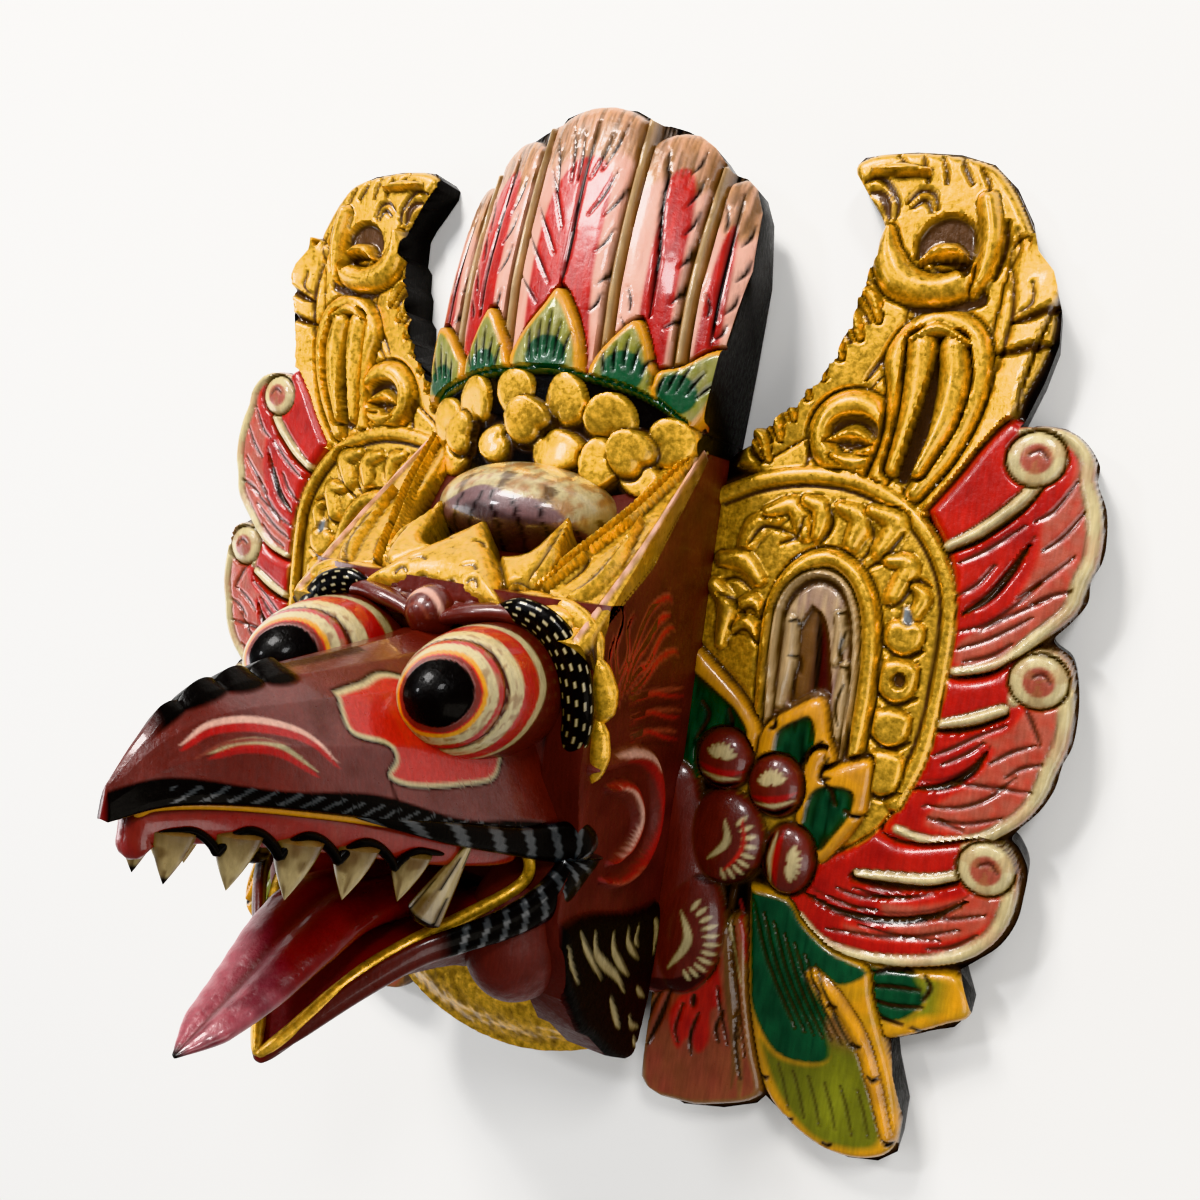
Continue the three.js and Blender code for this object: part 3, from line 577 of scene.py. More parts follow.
FEATHERS = [
    {"edge": [(141, 40), (150, 54), (157, 66), (165, 76), (172, 73.5), (181, 72.5), (188, 68.5), (193, 61),
              (194, 54),
              (197.5, 46), (199, 36), (199, 28), (197, 21), (196.5, 14), (192, 7), (187, 1), (180, -7),
              (171, -14),
              (161, -19), (154, -18), (155, 0), (152, 22)],
     "pale": [(187, 66), (186, 50), (180, 42), (180, 28), (176, 14), (172, 6), (164, 0), (158, -8),
              (160, -16),
              (172, -13), (184, 0), (196, 16), (199, 36), (194, 58)],
     "outline": [(170, 71), (178, 72), (186, 69.5), (191.5, 63), (192.5, 56), (195.5, 48), (197.5, 38),
                 (197.5, 29),
                 (195.5, 21), (194, 12), (189, 5), (183, -2), (177, -9), (169, -14), (160, -17)],
     "curl": (175.5, 62), "rod": [(151, 28), (161, 35), (172, 46), (178, 55)],
     "gouges": [[(159, 4), (167, 11), (173, 21), (178, 32)]],
     "cuts": [[(155, 22), (165, 29), (176, 39)], [(157, -3), (168, 2), (178, 12), (184, 20)],
              [(176, 12), (184, 20), (193, 30)], [(181, 11), (187, 15), (194, 18)],
              [(159, -9), (170, -3), (183, 7)],
              [(162, -13), (171, -9), (178, -3)], [(156, 10), (163, 16), (168, 24)],
              [(182, 30), (188, 36), (194, 46)],
              [(178, 40), (184, 45), (190, 56)], [(166, -1), (175, 6), (187, 14)]]},
    {"edge": [(154, -18), (161, -19), (171, -16), (179, -9), (185, -4.5), (190, -4), (195.5, -7),
              (198, -14),
              (199.5, -24), (199.5, -36), (197.5, -44), (196, -52), (192.5, -61), (187, -69), (180, -76),
              (170, -80.5),
              (160, -83), (150, -84), (143, -82), (148, -66), (154, -48)],
     "pale": [(186, -22), (180, -34), (172, -38), (160, -44), (176, -42), (170, -56), (160, -66),
              (158, -76), (176, -75),
              (190, -62), (197, -40), (196, -20)],
     "outline": [(181, -24), (180.5, -15), (184, -8), (190, -6), (195, -9), (197, -17), (198, -26),
                 (198, -36),
                 (195.5, -46), (194, -54), (190.5, -62), (185, -69), (178, -75), (169, -78.5), (158, -80.5),
                 (149, -79)],
     "curl": (188, -15.5), "rod": [(158, -37), (168, -33), (178, -27.5)],
     "gouges": [[(152, -63), (163, -59), (171, -52), (175, -44)]],
     "cuts": [[(157, -49), (163, -45), (172, -38), (180, -33)], [(160, -52), (168, -46), (174, -40)],
              [(164, -58), (177, -56), (192, -55)], [(156, -68), (168, -66), (178, -60), (186, -50)],
              [(162, -72), (172, -71), (184, -66)], [(176, -48), (183, -42), (190, -38)],
              [(184, -24), (188, -30), (192, -38)],
              [(158, -72), (165, -73), (172, -74)], [(182, -52), (187, -47), (194, -44)]]},
    {"edge": [(143, -82), (152, -84), (165, -80), (174, -76.5), (180, -75), (187, -77.5), (191.5, -84),
              (192, -94),
              (191, -103), (187, -112), (180, -120.5), (168, -127), (152, -131.5), (138, -132.5),
              (127, -130.5),
              (118, -125), (109, -115), (122, -98), (132, -90), (139, -80)],
     "pale": [(188, -84), (176, -96), (160, -104), (146, -108), (150, -118), (134, -119), (140, -124),
              (165, -119),
              (182, -110), (190, -96)],
     "outline": [(173, -80), (179, -77), (186, -79), (189.5, -86), (190, -95), (188.5, -104), (184.5, -112),
                 (177, -119.5),
                 (166, -125), (151, -129.5), (138, -130.5), (127, -128.5), (118, -122)],
     "curl": (181, -86), "rod": [(137, -99.5), (149, -97.5), (162, -95), (171, -91)],
     "gouges": [[(116, -112), (133, -116), (151, -114), (166, -108), (177, -99)]],
     "cuts": [[(127, -111), (138, -112.5), (147, -111)], [(143, -107), (155, -104), (166, -99)],
              [(128, -124), (148, -121), (170, -116)], [(140, -119), (158, -118), (176, -110)],
              [(134, -101), (146, -103), (160, -100)], [(160, -110), (172, -107), (184, -102)],
              [(136, -105), (146, -106), (158, -103)], [(165, -121), (174, -117), (182, -110)],
              [(130, -107), (138, -108), (150, -106)]]},
]


def feather(relief, parts, p):
    """A painted feather: red base, pink end, cream outline, rod and scroll, slanting gouge strokes."""
    def ground(a, b, d):
        patch = value_noise(a, b, 9.0, 11)
        return blend_paint(p["red"], p["scarlet"], patch * 0.8)

    region(relief, parts["edge"], rise=MID + 2.2 - LOW, base=LOW, bevel=5, colour=ground, gold=0)
    region(relief, parts["pale"], colour=lambda a, b, d: blend_paint(
        p["scarlet"], p["pink"],
        ease(d / 2.5) * (0.55 + 0.6 * value_noise(a * 0.6 - b, a + b * 0.6, 3.0, 5))), soft=1.2)
    relief.blade(parts["outline"], [1.8, 2.6, 2.8, 2.6, 1.8], roof(MID + 1.4, MID + 3.2),
                 lambda t, v: blend_paint(p["cream"], p["pink"],
                                          0.35 * (np.abs(v) > 0.6) + 0.25 * np.sin(t * 30)), 0)
    for line in parts["cuts"]:
        relief.stroke(line, 1.7, p["maroon"] * 0.55, cut=1.0, blunt=0.7, strength=0.9)
    for line in parts["gouges"]:
        relief.stroke(line, 3.6, p["black"], cut=2.2, blunt=0.8)
        shifted = [(a + 1.2, b + 3.4) for a, b in line]
        relief.stroke(shifted, 1.2, p["plum"], cut=0.5, blunt=0.7, strength=0.7)
    # Painted shadow: a dark maroon copy of the rod, set lower and off to one side of it.
    relief.blade([(a - 0.6, b - 1.6) for a, b in parts["rod"]], [2.0, 3.1, 3.2, 2.6], LOW + 3,
                 p["maroon"] * 0.4, 0)
    relief.blade(parts["rod"], [1.9, 2.4, 2.6, 2.2], roof(MID + 1, MID + 3.6, 2),
                 lambda t, v: blend_paint(p["cream"], p["tan"],
                                          0.5 * np.abs(v) ** 3 + 0.2 * np.sin(t * 40 + v * 3)), 0)
    centre = parts["curl"]
    relief.disc(centre, 10.4, LOW + 4, p["maroon"] * 0.5, gold=0)
    relief.disc(centre, 9.6, dome_shape(MID + 1, HIGH - 0.6), lambda r, angle: blend_paint(
        blend_paint(p["cream"], p["pink"] * 0.8, ease((0.62 - r) / 0.12)), p["tan"],
        0.35 * (np.sin(3 * angle) > 0.4)), 0)
    relief.stroke([(centre[0] - 3, centre[1] + 1), (centre[0] + 1, centre[1] + 3),
                   (centre[0] + 4, centre[1])],
                  1.3, p["maroon"] * 0.7, cut=0.7)


def horn(relief, p):
    """The gilded scroll leaf above the ring."""
    gold, deep = p["gold"], p["old_gold"]
    body = [(66, 50), (70, 60), (80, 69), (89, 77), (95, 86), (100, 96), (103, 108), (107, 128), (110, 138),
            (109, 147), (101, 157), (96, 166), (103, 170.5), (118, 171), (134, 169), (146, 165), (154, 156),
            (161, 144), (165, 133), (170, 125), (174, 113), (173, 99), (168, 84), (165, 72), (150, 54),
            (141, 40),
            (110, 46), (80, 46)]
    region(relief, body, rise=MID - LOW - 0.5, base=LOW, bevel=4, colour=gold, gold=1)

    def leaf(line, half, edge, crest, side=0, power=1.5):
        shape = roof(edge, crest, power) if side == 0 else lean_to(edge, crest, side)
        relief.blade(line, np.array(half) + 0.9, MID - 2.6, deep * 0.7, 0.25)
        relief.blade(line, half, shape, gold, 1)

    # Outer leaf with its two notches.
    leaf([(163, 134), (165, 122), (162, 104), (160, 88), (158, 74), (148, 56), (141, 42)],
         [6, 9, 7.5, 6.5, 6.5, 6, 4], MID - 1, HIGH, side=1)
    for notch in ([(175, 116), (168, 112), (160, 109)], [(174, 103), (166, 100), (157, 98)]):
        relief.stroke(notch, 3.6, deep * 0.7, cut=3.2, gold=0.3, blunt=0.5)
    relief.stroke([(158, 128), (160, 112), (158, 92)], 2.0, deep, cut=1.6, gold=0.5)
    relief.stroke([(165, 124), (166, 116), (161, 112)], 1.6, deep, cut=1.0, gold=0.6)
    # Inner leaf behind the saw teeth.
    leaf([(106, 127), (112, 112), (109, 98), (104, 86), (92, 72), (76, 58)], [3, 11, 13, 9, 7, 5],
         MID - 1.5, MID + 2, side=-1)
    relief.stroke([(107, 124), (118, 118), (127, 111)], 1.6, deep, cut=1.2, gold=0.4)
    relief.stroke([(126, 110), (119, 98), (112, 86)], 2.2, deep * 0.8, cut=1.8, gold=0.3)
    teeth = 8
    for i in range(teeth):
        t = (i + 0.5) / teeth
        x, y = 107 - 40 * t - 3 * math.sin(math.pi * t) + 2, 120 - 63 * t ** 1.08
        relief.blade([(x + 8, y - 8), (x + 4.5, y + 0.5), (x - 0.5, y + 3.5)], [1.6, 3.4, 2.2],
                     roof(MID - 2, HIGH - 1.6), gold, 1)
        relief.stroke([(x + 5, y - 10), (x + 1, y - 4.4), (x - 3, y - 1)], 2.6, deep * 0.7, cut=2.4,
                      gold=0.3, blunt=0.5)
    # Small scroll above the ring.
    leaf(spiral((111, 66), 13.5, 9.5, -75, -0.98), [4, 5.5, 6, 5.5, 4.2], MID - 0.5, HIGH + 1, power=2)
    relief.disc((111, 66.5), (9.4, 6.8), lambda r, angle: MID - 3 + 2.4 * r ** 2, deep * 0.75, gold=0.2)
    relief.blade([(101.5, 62.5), (111, 66.2), (120.5, 62)], [1, 3.6, 1], roof(MID - 1, HIGH - 0.6), gold, 1)
    relief.blade([(104, 57), (112, 55), (120, 57)], [1.5, 4, 1.5], roof(MID + 1, HIGH), gold, 1)
    relief.stroke([(94, 66), (94.6, 58), (94, 51)], 2.0, deep, cut=1.5, gold=0.3)
    # Leaf folded round a slit.
    leaf([(122, 50), (126, 66), (125, 84), (123, 96), (129, 106), (138, 109), (148, 104), (152, 92),
          (150, 76),
          (144, 60), (136, 46)], [4, 4.5, 4.5, 5, 5, 5.5, 5, 4.5, 4.5, 4.5, 3.5], MID - 0.5, HIGH - 0.4,
          power=2.2)
    leaf([(127, 54), (131, 72), (132, 88), (131, 100)], [3, 5, 6, 5.5], MID + 0.5, HIGH + 0.6, power=2)
    leaf([(136, 54), (142, 72), (144, 88), (142, 100)], [3, 5, 5.5, 5], MID + 0.5, HIGH + 0.6, power=2)
    # The raised crest over the fold, painted a brighter gold as a highlight.
    relief.blade([(126.5, 101.5), (136, 106), (147.5, 101)], [0.8, 2.6, 0.8], roof(HIGH - 1, HIGH + 1.2),
                 gold * 1.1, 1)
    relief.blade([(136.5, 97), (136.4, 84), (134.6, 68), (131, 51)], [0.5, 2.1, 3.2, 2.4], MID - 3.4,
                 deep * 0.55, 0.1)
    # Brown hollow between the folded leaf and the scroll.
    region(relief, [(119, 120), (125, 112), (137, 112.5), (150, 115), (149, 121), (137, 119), (128, 119)],
           rise=0.3, base=MID - 2.6, colour=deep * 0.8, gold=0.25)
    # The great scroll.
    leaf([(113, 142), (114, 132), (119, 124), (130, 120.5), (141, 123), (147, 132)], [2, 6, 7, 6, 6, 2],
         MID + 0.5, HIGH + 1.2,
         power=2)
    region(relief, [(123, 131), (122.5, 139), (127, 146), (135, 148.5), (143, 144), (145, 135), (143, 124),
                    (138, 128)],
           rise=-3.6, base=MID - 0.4, bevel=2.5, colour=lambda a, b,
           d: blend_paint(gold * 0.8, deep * 0.7, ease(d / 2)),
           gold=0.35)
    relief.blade([(126, 130), (131, 134), (137, 134.5), (142, 131.5)], [1, 3.2, 3, 0.8],
                 roof(MID - 0.5, HIGH), gold, 1)
    relief.stroke([(130, 129), (136, 127), (142, 131)], 1.9, deep * 0.6, cut=1.8, gold=0.1)
    relief.blade([(146, 152), (149, 140), (148.5, 128), (146, 119)], [4, 4.2, 3.6, 1.5],
                 roof(MID, HIGH + 0.8, 2), gold, 1)
    relief.stroke([(153.5, 146), (154.5, 136), (152, 124)], 2.4, deep, cut=2.2, gold=0.4)
    relief.stroke([(157, 143), (159, 136), (157, 128)], 1.3, deep, cut=1.0, gold=0.6)
    # Cuts near the tip.
    for line, width in (
        ([(100.5, 160.5), (107, 161.5), (114, 153), (114, 146)], 2.6),
        ([(103, 157), (109, 154), (112, 146)], 4.4),
        ([(117.5, 152), (122, 156.5), (127, 155), (129, 149)], 2.2),
        ([(119, 150), (124, 153), (127.5, 148)], 2.4),
        ([(121, 170), (122.5, 164), (124.5, 159)], 1.7), ([(128, 169), (130, 163), (131, 158)], 1.5),
        ([(135, 168), (137, 163), (140, 158)], 1.9), ([(112, 170), (115, 166.5), (117, 163)], 1.4),
        ([(142, 164), (145, 159), (146, 154)], 1.3),
    ):
        relief.stroke(line, width, deep * 0.75, cut=1.9, gold=0.3, blunt=0.5)
    relief.blade([(104, 164), (114, 164), (124, 163)], [1, 2.2, 1], roof(MID + 2, HIGH), gold, 1,
                 mode="max")


def ring(relief, p):
    """The gilded ring, its lobes, and the arched window inside it."""
    gold, deep = p["gold"], p["old_gold"]
    disc = [(61, 38), (78, 46), (98, 50.5), (116, 49), (134, 41.5), (147, 28), (155, 8), (156, -20),
            (154, -48), (147, -72),
            (134, -90), (110, -100), (61, -100)]
    region(relief, disc, rise=3, base=LOW + 0.4, bevel=2, colour=gold, gold=1)
    rim = [(61, 37), (78, 45), (98, 49), (116, 47.5), (133, 40), (145.5, 27), (153.5, 8), (154.5, -20),
           (152.5, -48),
           (146, -70)]
    relief.blade(rim, 3.4, roof(MID, HIGH - 2, 2.5), gold, 1)
    relief.blade([(a + (109 - a) * 0.055, b + (-10 - b) * 0.07) for a, b in rim], 1.0, MID - 1.4,
                 deep * 0.8, 0.3)
    # Each lobe is a rounded pad with a crescent gouge beside it.
    lobes = [
        ([(74, 16), (78, 26), (88, 34)], [4, 6, 4], [(76, 19), (82, 27), (94, 25)]),
        ([(82, 33), (92, 36), (98, 26)], [3, 5, 4], [(88, 21), (95, 25), (97, 33)]),
        ([(97, 39), (103, 36), (103, 26)], [3.4, 5, 3.4], [(105, 39), (107.5, 31), (104, 23)]),
        ([(110, 38), (118, 34), (116, 24)], [3, 6, 4], [(121, 35), (124, 26), (120, 18)]),
        ([(122, 38), (131, 34), (128, 23)], [3, 6, 5], [(123, 16), (129, 21), (135, 31)]),
        ([(131, 20), (138, 19), (135, 7)], [3, 5, 5], [(131, 2.5), (137, 5), (141, 14)]),
        ([(141, 12), (145, 8), (143, 1)], [2, 4, 3], [(139, 12), (143, 14), (147, 12)]),
        ([(66, 12), (75, 12), (82, 6)], [4, 5.5, 4], [(66, 3), (73, 5), (81, 0)]),
        ([(75, -6), (81, -4), (86, -9)], [3, 5, 2], [(75, -9), (81, -6), (87, -12)]),
        ([(74, -15), (80, -13), (86, -18)], [3, 5, 2], [(74, -18), (80, -15), (87, -22)]),
        ([(64, 1), (70, -6), (70, -22)], [4, 5, 3], [(66, -2), (73, -4), (79, -10)]),
    ]
    for line, half, cut in lobes:
        relief.blade(line, half, roof(MID - 1.6, MID + 2.2, 2.2), gold, 1)
        relief.stroke(cut, 1.9, deep * 0.65, cut=1.9, gold=0.25, blunt=0.5)
    # Rounded pads down the right side, parted by smiling gouges.
    for top, bottom in ((-2, -12), (-17, -30), (-36, -47), (-52, -66)):
        region(relief, [(134, top), (140, top + 1.5), (147, top), (148, (top + bottom) / 2), (146, bottom),
                        (140, bottom - 3), (134, bottom), (132.5, (top + bottom) / 2)],
               rise=4.6, base=MID - 2.2, bevel=3.5, colour=gold, gold=1)
        relief.stroke([(132.5, bottom + 0.5), (140, bottom - 4), (148, bottom + 0.5)], 2.1, deep * 0.65,
                      cut=1.7, gold=0.25)
    relief.disc((141, -24), (2.6, 3), MID - 0.5, deep, gold=0.5)
    # The arch band with its beads.
    relief.blade([(93, -56), (91, -26), (91, -4), (97, 11), (107, 17.5), (117, 14), (124.5, 4),
                  (127.5, -12), (128.5, -36),
                  (127, -62)], 5.4, MID - 2.5, deep * 0.7, 0.3)
    relief.blade([(92, -54), (90, -26), (90, -3), (96.5, 11.5), (107, 18), (117.5, 14.5), (125, 4),
                  (128.5, -12),
                  (129.5, -36), (128, -60)], 3.6, roof(MID + 0.6, HIGH, 2.4), gold, 1)
    region(relief, [(91, -60), (90, -24), (90.5, -4), (96, 8), (106, 13.5), (115.5, 10.5), (121.5, 1),
                    (124.5, -12),
                    (125.5, -36), (124, -64)], rise=-2.5, base=MID - 0.4, bevel=1.5,
                    colour=p["old_gold"] * 0.45, gold=0)
    pale = blend_paint(p["cream"], p["pink"], np.array(0.25))
    relief.blade([(93.5, -50), (91.5, -26), (91.5, -4), (97, 7.5), (106, 12), (115, 9), (120.5, 0),
                  (123.5, -14),
                  (124.5, -36), (122, -58)], 1.9, roof(LOW + 2.6, MID + 1.6), pale, 0)
    # Window: cream arch stone, dark slit, and two leaves at its sides.
    streaky = lambda a, b, d: blend_paint(pale, p["mauve"],
                                          0.75 * value_noise(a, b * 0.15, 1.6,
                                                             8) + ease((-b - 2) / 20) * 0.3)
    region(relief, [(95, -60), (94, -20), (94, -6), (99, 4), (106, 8), (113, 5.5), (118, -2), (121, -16),
                    (122, -40),
                    (121, -62)], rise=2.6, base=LOW - 0.4, bevel=2, colour=streaky, gold=0)
    region(relief, [(104, -1), (100.5, -10), (100, -24), (101, -42), (116, -42), (114, -20), (110, -6)],
           rise=-1.6,
           base=LOW + 1.4, bevel=2, colour=lambda a, b,
           d: blend_paint(p["tan"] * 0.4, p["plum"] * 0.7, ease((a - 105) / 5)),
           gold=0)
    relief.stroke([(107, -3), (109, -20), (110, -42)], 2.6, p["black"], cut=0.6, blunt=0.5)
    for line, half in (([(97, -8), (98, -22), (97, -42)], [2.6, 3.2, 2.4]),
                       ([(115, -3), (117, -12), (116, -22)], [2.2, 3.2, 1.6]),
                       ([(120, -22), (120.5, -34), (121, -50)], [2, 3.2, 2.2])):
        relief.blade(line, half, roof(LOW + 1.6, MID), pale * 0.92, 0)
    for line in ([(96, -9), (99.5, -8), (101, -12)], [(98, -22), (102, -23), (103, -29)],
                 [(102, -25), (101, -33), (102, -40)],
                 [(114, -3), (118, -2.5), (118, -8)], [(119, -8), (117.5, -16), (119, -22)],
                 [(118, -23), (121.5, -23.5), (123, -29)], [(121, -29), (119, -38), (121, -46)]):
        relief.stroke(line, 1.5, p["black"], cut=0.5)
    # Where the paint has chipped off to the primer.
    region(relief, [(138.5, 4), (141.5, 2.5), (143, -1.5), (141.5, -3.5), (139, -2)], rise=-0.5,
           base=MID + 1, bevel=1,
           colour=p["grey"], gold=0)


def painted_leaf(relief, outline, base, rise, p, inner, fold=None, dark=0.6):
    """A leaf with a yellow outline, a streaky green middle and a raised fold."""
    region(relief, outline, rise=rise, base=base, bevel=4, gold=0,
           colour=lambda a, b, d: blend_paint(p["yellow"], p["olive"], 0.35 * value_noise(a, b, 3.5, 21)))
    region(relief, inner, colour=lambda a, b, d: blend_paint(
        p["green"], p["dark_green"] * 0.5, dark * value_noise(a * 1.2, b * 0.25, 1.7, 4) + 0.1), soft=0.8,
        gold=0)
    if fold:
        relief.stroke(fold, 1.4, p["black"], cut=1.0, blunt=0.6)


def lower_carving(relief, p):
    """Leaves, fruit, pod and tail feather below the ring."""
    brown = p["tan"] * 0.45
    # Side leaf.
    painted_leaf(relief, [(126, -132), (146, -132), (163, -130), (178, -128), (184, -141), (176, -148),
                          (157, -160),
                          (146, -156), (132, -148)], LOW + 1, 4.2, p,
                 [(128, -134), (150, -133.5), (164, -132), (168, -140), (161, -150), (150, -152),
                  (134, -146)])
    region(relief, [(163, -133), (176, -131), (180, -140), (168, -146), (162, -150), (168, -141)], soft=1.5,
           colour=lambda a, b, d: blend_paint(p["olive"], p["yellow"], ease((a - 168) / 12)))
    for line in ([(146, -137), (154, -133), (163, -131)], [(145, -142), (155, -139), (166, -137)],
                 [(147, -146), (156, -146),
                 (168, -143)], [(149, -150), (155, -152), (162, -152)],
                 [(166, -131), (169, -135), (167, -141)],
                 [(164, -152), (170, -153), (176, -149)], [(142, -140), (138, -136), (140, -132)]):
        relief.stroke(line, 2.0, p["black"], cut=0.9)
    # Large leaf at the foot.
    foot = [(96, -116), (112, -116), (120, -124), (132, -131), (146, -134), (150, -146), (155, -158),
            (161, -172), (166, -190),
            (164, -203), (152, -210), (138, -210.5), (124, -205), (114, -196), (108, -182), (103, -166),
            (100, -150)]
    painted_leaf(relief, foot, LOW + 1, 5.4, p,
                 [(97, -118), (112, -118), (120, -126), (132, -133), (146, -136), (137, -144), (128, -141),
                  (126, -147),
                  (134, -158), (138, -172), (130, -178), (116, -178), (105, -164), (102, -150)])
    region(relief, [(110, -176), (118, -180), (130, -179), (137, -173), (134, -160), (140, -154),
                    (150, -168), (157, -182),
                    (160, -197), (154, -204), (138, -206.5), (126, -200), (117, -190)], soft=1.6,
           colour=lambda a, b, d: blend_paint(blend_paint(p["olive"] * 0.75, p["tan"] * 0.6,
                                                          ease((b + 172) / 10)),
                                              p["olive"] * 1.25,
                                              0.8 * np.exp(-((a - 141) / 7) ** 2 - ((b + 190) / 14) ** 2)))
    relief.blade([(127, -144), (136, -150), (147, -162), (155, -178), (162, -196)], [3.5, 4, 3.8, 3.4, 2.6],
                 roof(MID + 0.5, MID + 3.4),
                 lambda t, v: blend_paint(p["yellow"], p["tan"] * 0.8,
                                          0.5 * np.abs(v) ** 2 + 0.2 * np.sin(t * 26)), 0)
    for k in range(7):
        x, y = 99 + 4.6 * k, -121 - 3.0 * k
        relief.stroke([(x, y), (x + 9, y - 22 + k), (x + 24 - k, y - 46 + 3 * k)], 1.5,
                      p["dark_green"] * 0.35, cut=0.9, blunt=0.6)
    for k in range(6):
        x, y = 118 + 6.2 * k, -182 - 1.2 * k + 0.9 * k * k * 0.3
        relief.stroke([(x, y), (x + 4, y - 9), (x + 7, y - 18)], 1.0, p["olive"] * 0.3, cut=0.6)
    for a, b in ((113, -191), (125, -204), (141, -208), (135, -154), (146, -166), (154, -176), (163, -199)):
        relief.stroke([(a - 2.2, b + 0.8), (a, b), (a + 2.2, b + 1.6)], 2.0, p["black"], cut=0.8)
    # Tail feather.
    tail = [(61, -150), (80, -140), (96, -130), (102, -160), (108, -182), (113, -196), (110, -203),
            (97, -210),
            (81, -215), (61, -210)]
    region(relief, tail, rise=4.6, base=LOW + 0.6, bevel=4, gold=0, colour=lambda a, b, d: blend_paint(
        p["pink"] * 0.72, p["tan"] * 0.75, ease((4 - d) / 2) + 0.3 * value_noise(a, b * 0.3, 3, 2)))
    region(relief, [(88, -150), (73, -172), (71, -182), (76, -192), (80, -186), (85, -191), (89, -184),
                    (88, -172), (92, -166)],
           colour=lambda a, b, d: blend_paint(p["red"], p["scarlet"], value_noise(a, b, 5, 6)), soft=1)
    for k, (a, b) in enumerate([(96, -128), (99, -140), (95, -135)]):
        relief.stroke([(a - 12 + 3 * k, b + 6), (a - 4 + k, b - 22), (a + 3 + k, b - 50), (a + 6, b - 66)],
                      3.0,
                      p["tan"] * (0.9 - 0.25 * k), blunt=0.5, strength=0.8)
        relief.stroke([(a - 10 + 3 * k, b + 6), (a - 2 + k, b - 22), (a + 4.5 + k, b - 46)], 1.1,
                      brown * 0.6, cut=1.2, blunt=0.6)
    relief.stroke([(81, -121), (90, -134), (99, -158)], 1.6, p["cream"], cut=0.2, blunt=0.6)
    relief.stroke([(92, -124), (97, -138), (100, -150)], 1.8, p["red"], blunt=0.6)
    for line, width in (([(70, -168), (67, -182), (62.5, -196)], 2.4),
                        ([(76, -172), (74, -184), (76, -190)], 1.2),
                        ([(80, -167), (80, -170), (80, -173)], 2.8),
                        ([(83, -174), (81, -184), (82, -193)], 1.8),
                        ([(93, -170), (91, -178), (93, -184)], 1.6),
                        ([(89, -160), (91, -168), (97, -184)], 1.2),
                        ([(98, -168), (100, -182), (104, -196)], 1.3),
                        ([(66, -170), (63, -178), (61, -186)], 1.4)):
        relief.stroke(line, width, p["black"], cut=1.1, blunt=0.6)
    # Leaf sprays above the fruit.
    green = lambda a, b, d: blend_paint(p["green"] * 0.8, p["black"],
                                        0.9 * value_noise(a * 1.2, b * 0.3, 1.6, 7))
    sprays = [
        ([(60, -24), (72, -33), (84, -43), (92, -54), (90, -66), (62, -82)],
         [(60, -34), (72, -41), (83, -49), (86, -60), (62, -80)]),
        ([(91, -66), (93, -52), (102, -43), (114, -36), (119, -50), (123, -64), (108, -74)],
         [(98, -62), (99, -52), (106, -46), (111, -44), (114, -52), (111, -64), (104, -66)]),
        ([(110, -70), (113, -58), (119, -56), (118, -64), (126, -59), (136, -56), (137, -70), (135, -80),
          (124, -99), (118, -96),
          (111, -88)], [(113, -88), (115, -74), (121, -69), (131, -69), (131, -78), (126, -88),
                        (121, -95)]),
    ]
    for outline, inner in sprays:
        # Painted shade: a dark brown copy of each spray, set lower and shifted up, shows above it.
        region(relief, [(a, b + 2.2) for a, b in outline], rise=0.2, base=MID - 2.4, colour=brown * 0.7,
               gold=0.1)
        region(relief, outline, rise=3.4, base=MID, bevel=5, gold=0, smooth=True,
               colour=lambda a, b, d: blend_paint(p["yellow"], p["tan"], 0.4 * value_noise(a, b, 3, 9)))
        region(relief, inner, rise=-1.4, base=HIGH - 1.2, bevel=4, colour=green, gold=0)
    for line in ([(96, -45), (98, -50), (95, -52)], [(117, -52), (111, -60), (108, -70)],
                 [(117, -66), (122, -70), (125, -76)],
                 [(128, -77), (133, -78), (137, -77)], [(120, -58), (118, -66), (122, -66)],
                 [(66, -46), (70, -52), (66, -62)],
                 [(78, -47), (80, -54), (76, -58)]):
        relief.stroke(line, 2.0, p["black"], cut=0.9)
    # Fruit and the bean-shaped pod.
    berry(relief, (79, -68), (11.5, 12.5), HIGH + 3, 90, p)
    berry(relief, (101, -74), (11, 12.5), HIGH + 2.5, 105, p)
    berry(relief, (110, -101.5), (10.5, 14), HIGH + 2.5, 0, p)
    maroon = p["maroon"] * 1.1
    relief.blade([(68, -92), (70, -120), (73, -150)], [14, 19, 15], MID - 1, p["black"], 0)
    relief.disc((84, -99), (16.5, 19.5), dome_shape(MID, HIGH + 4.4), maroon, gold=0)
    relief.disc((71.5, -140), (17.5, 29), dome_shape(MID, HIGH + 4.8), maroon, gold=0, mode="max")
    relief.blade([(58, -84), (66, -112), (60, -160)], [12, 12, 12], roof(MID + 3, HIGH + 3.4, 2), maroon, 0,
                 mode="max")
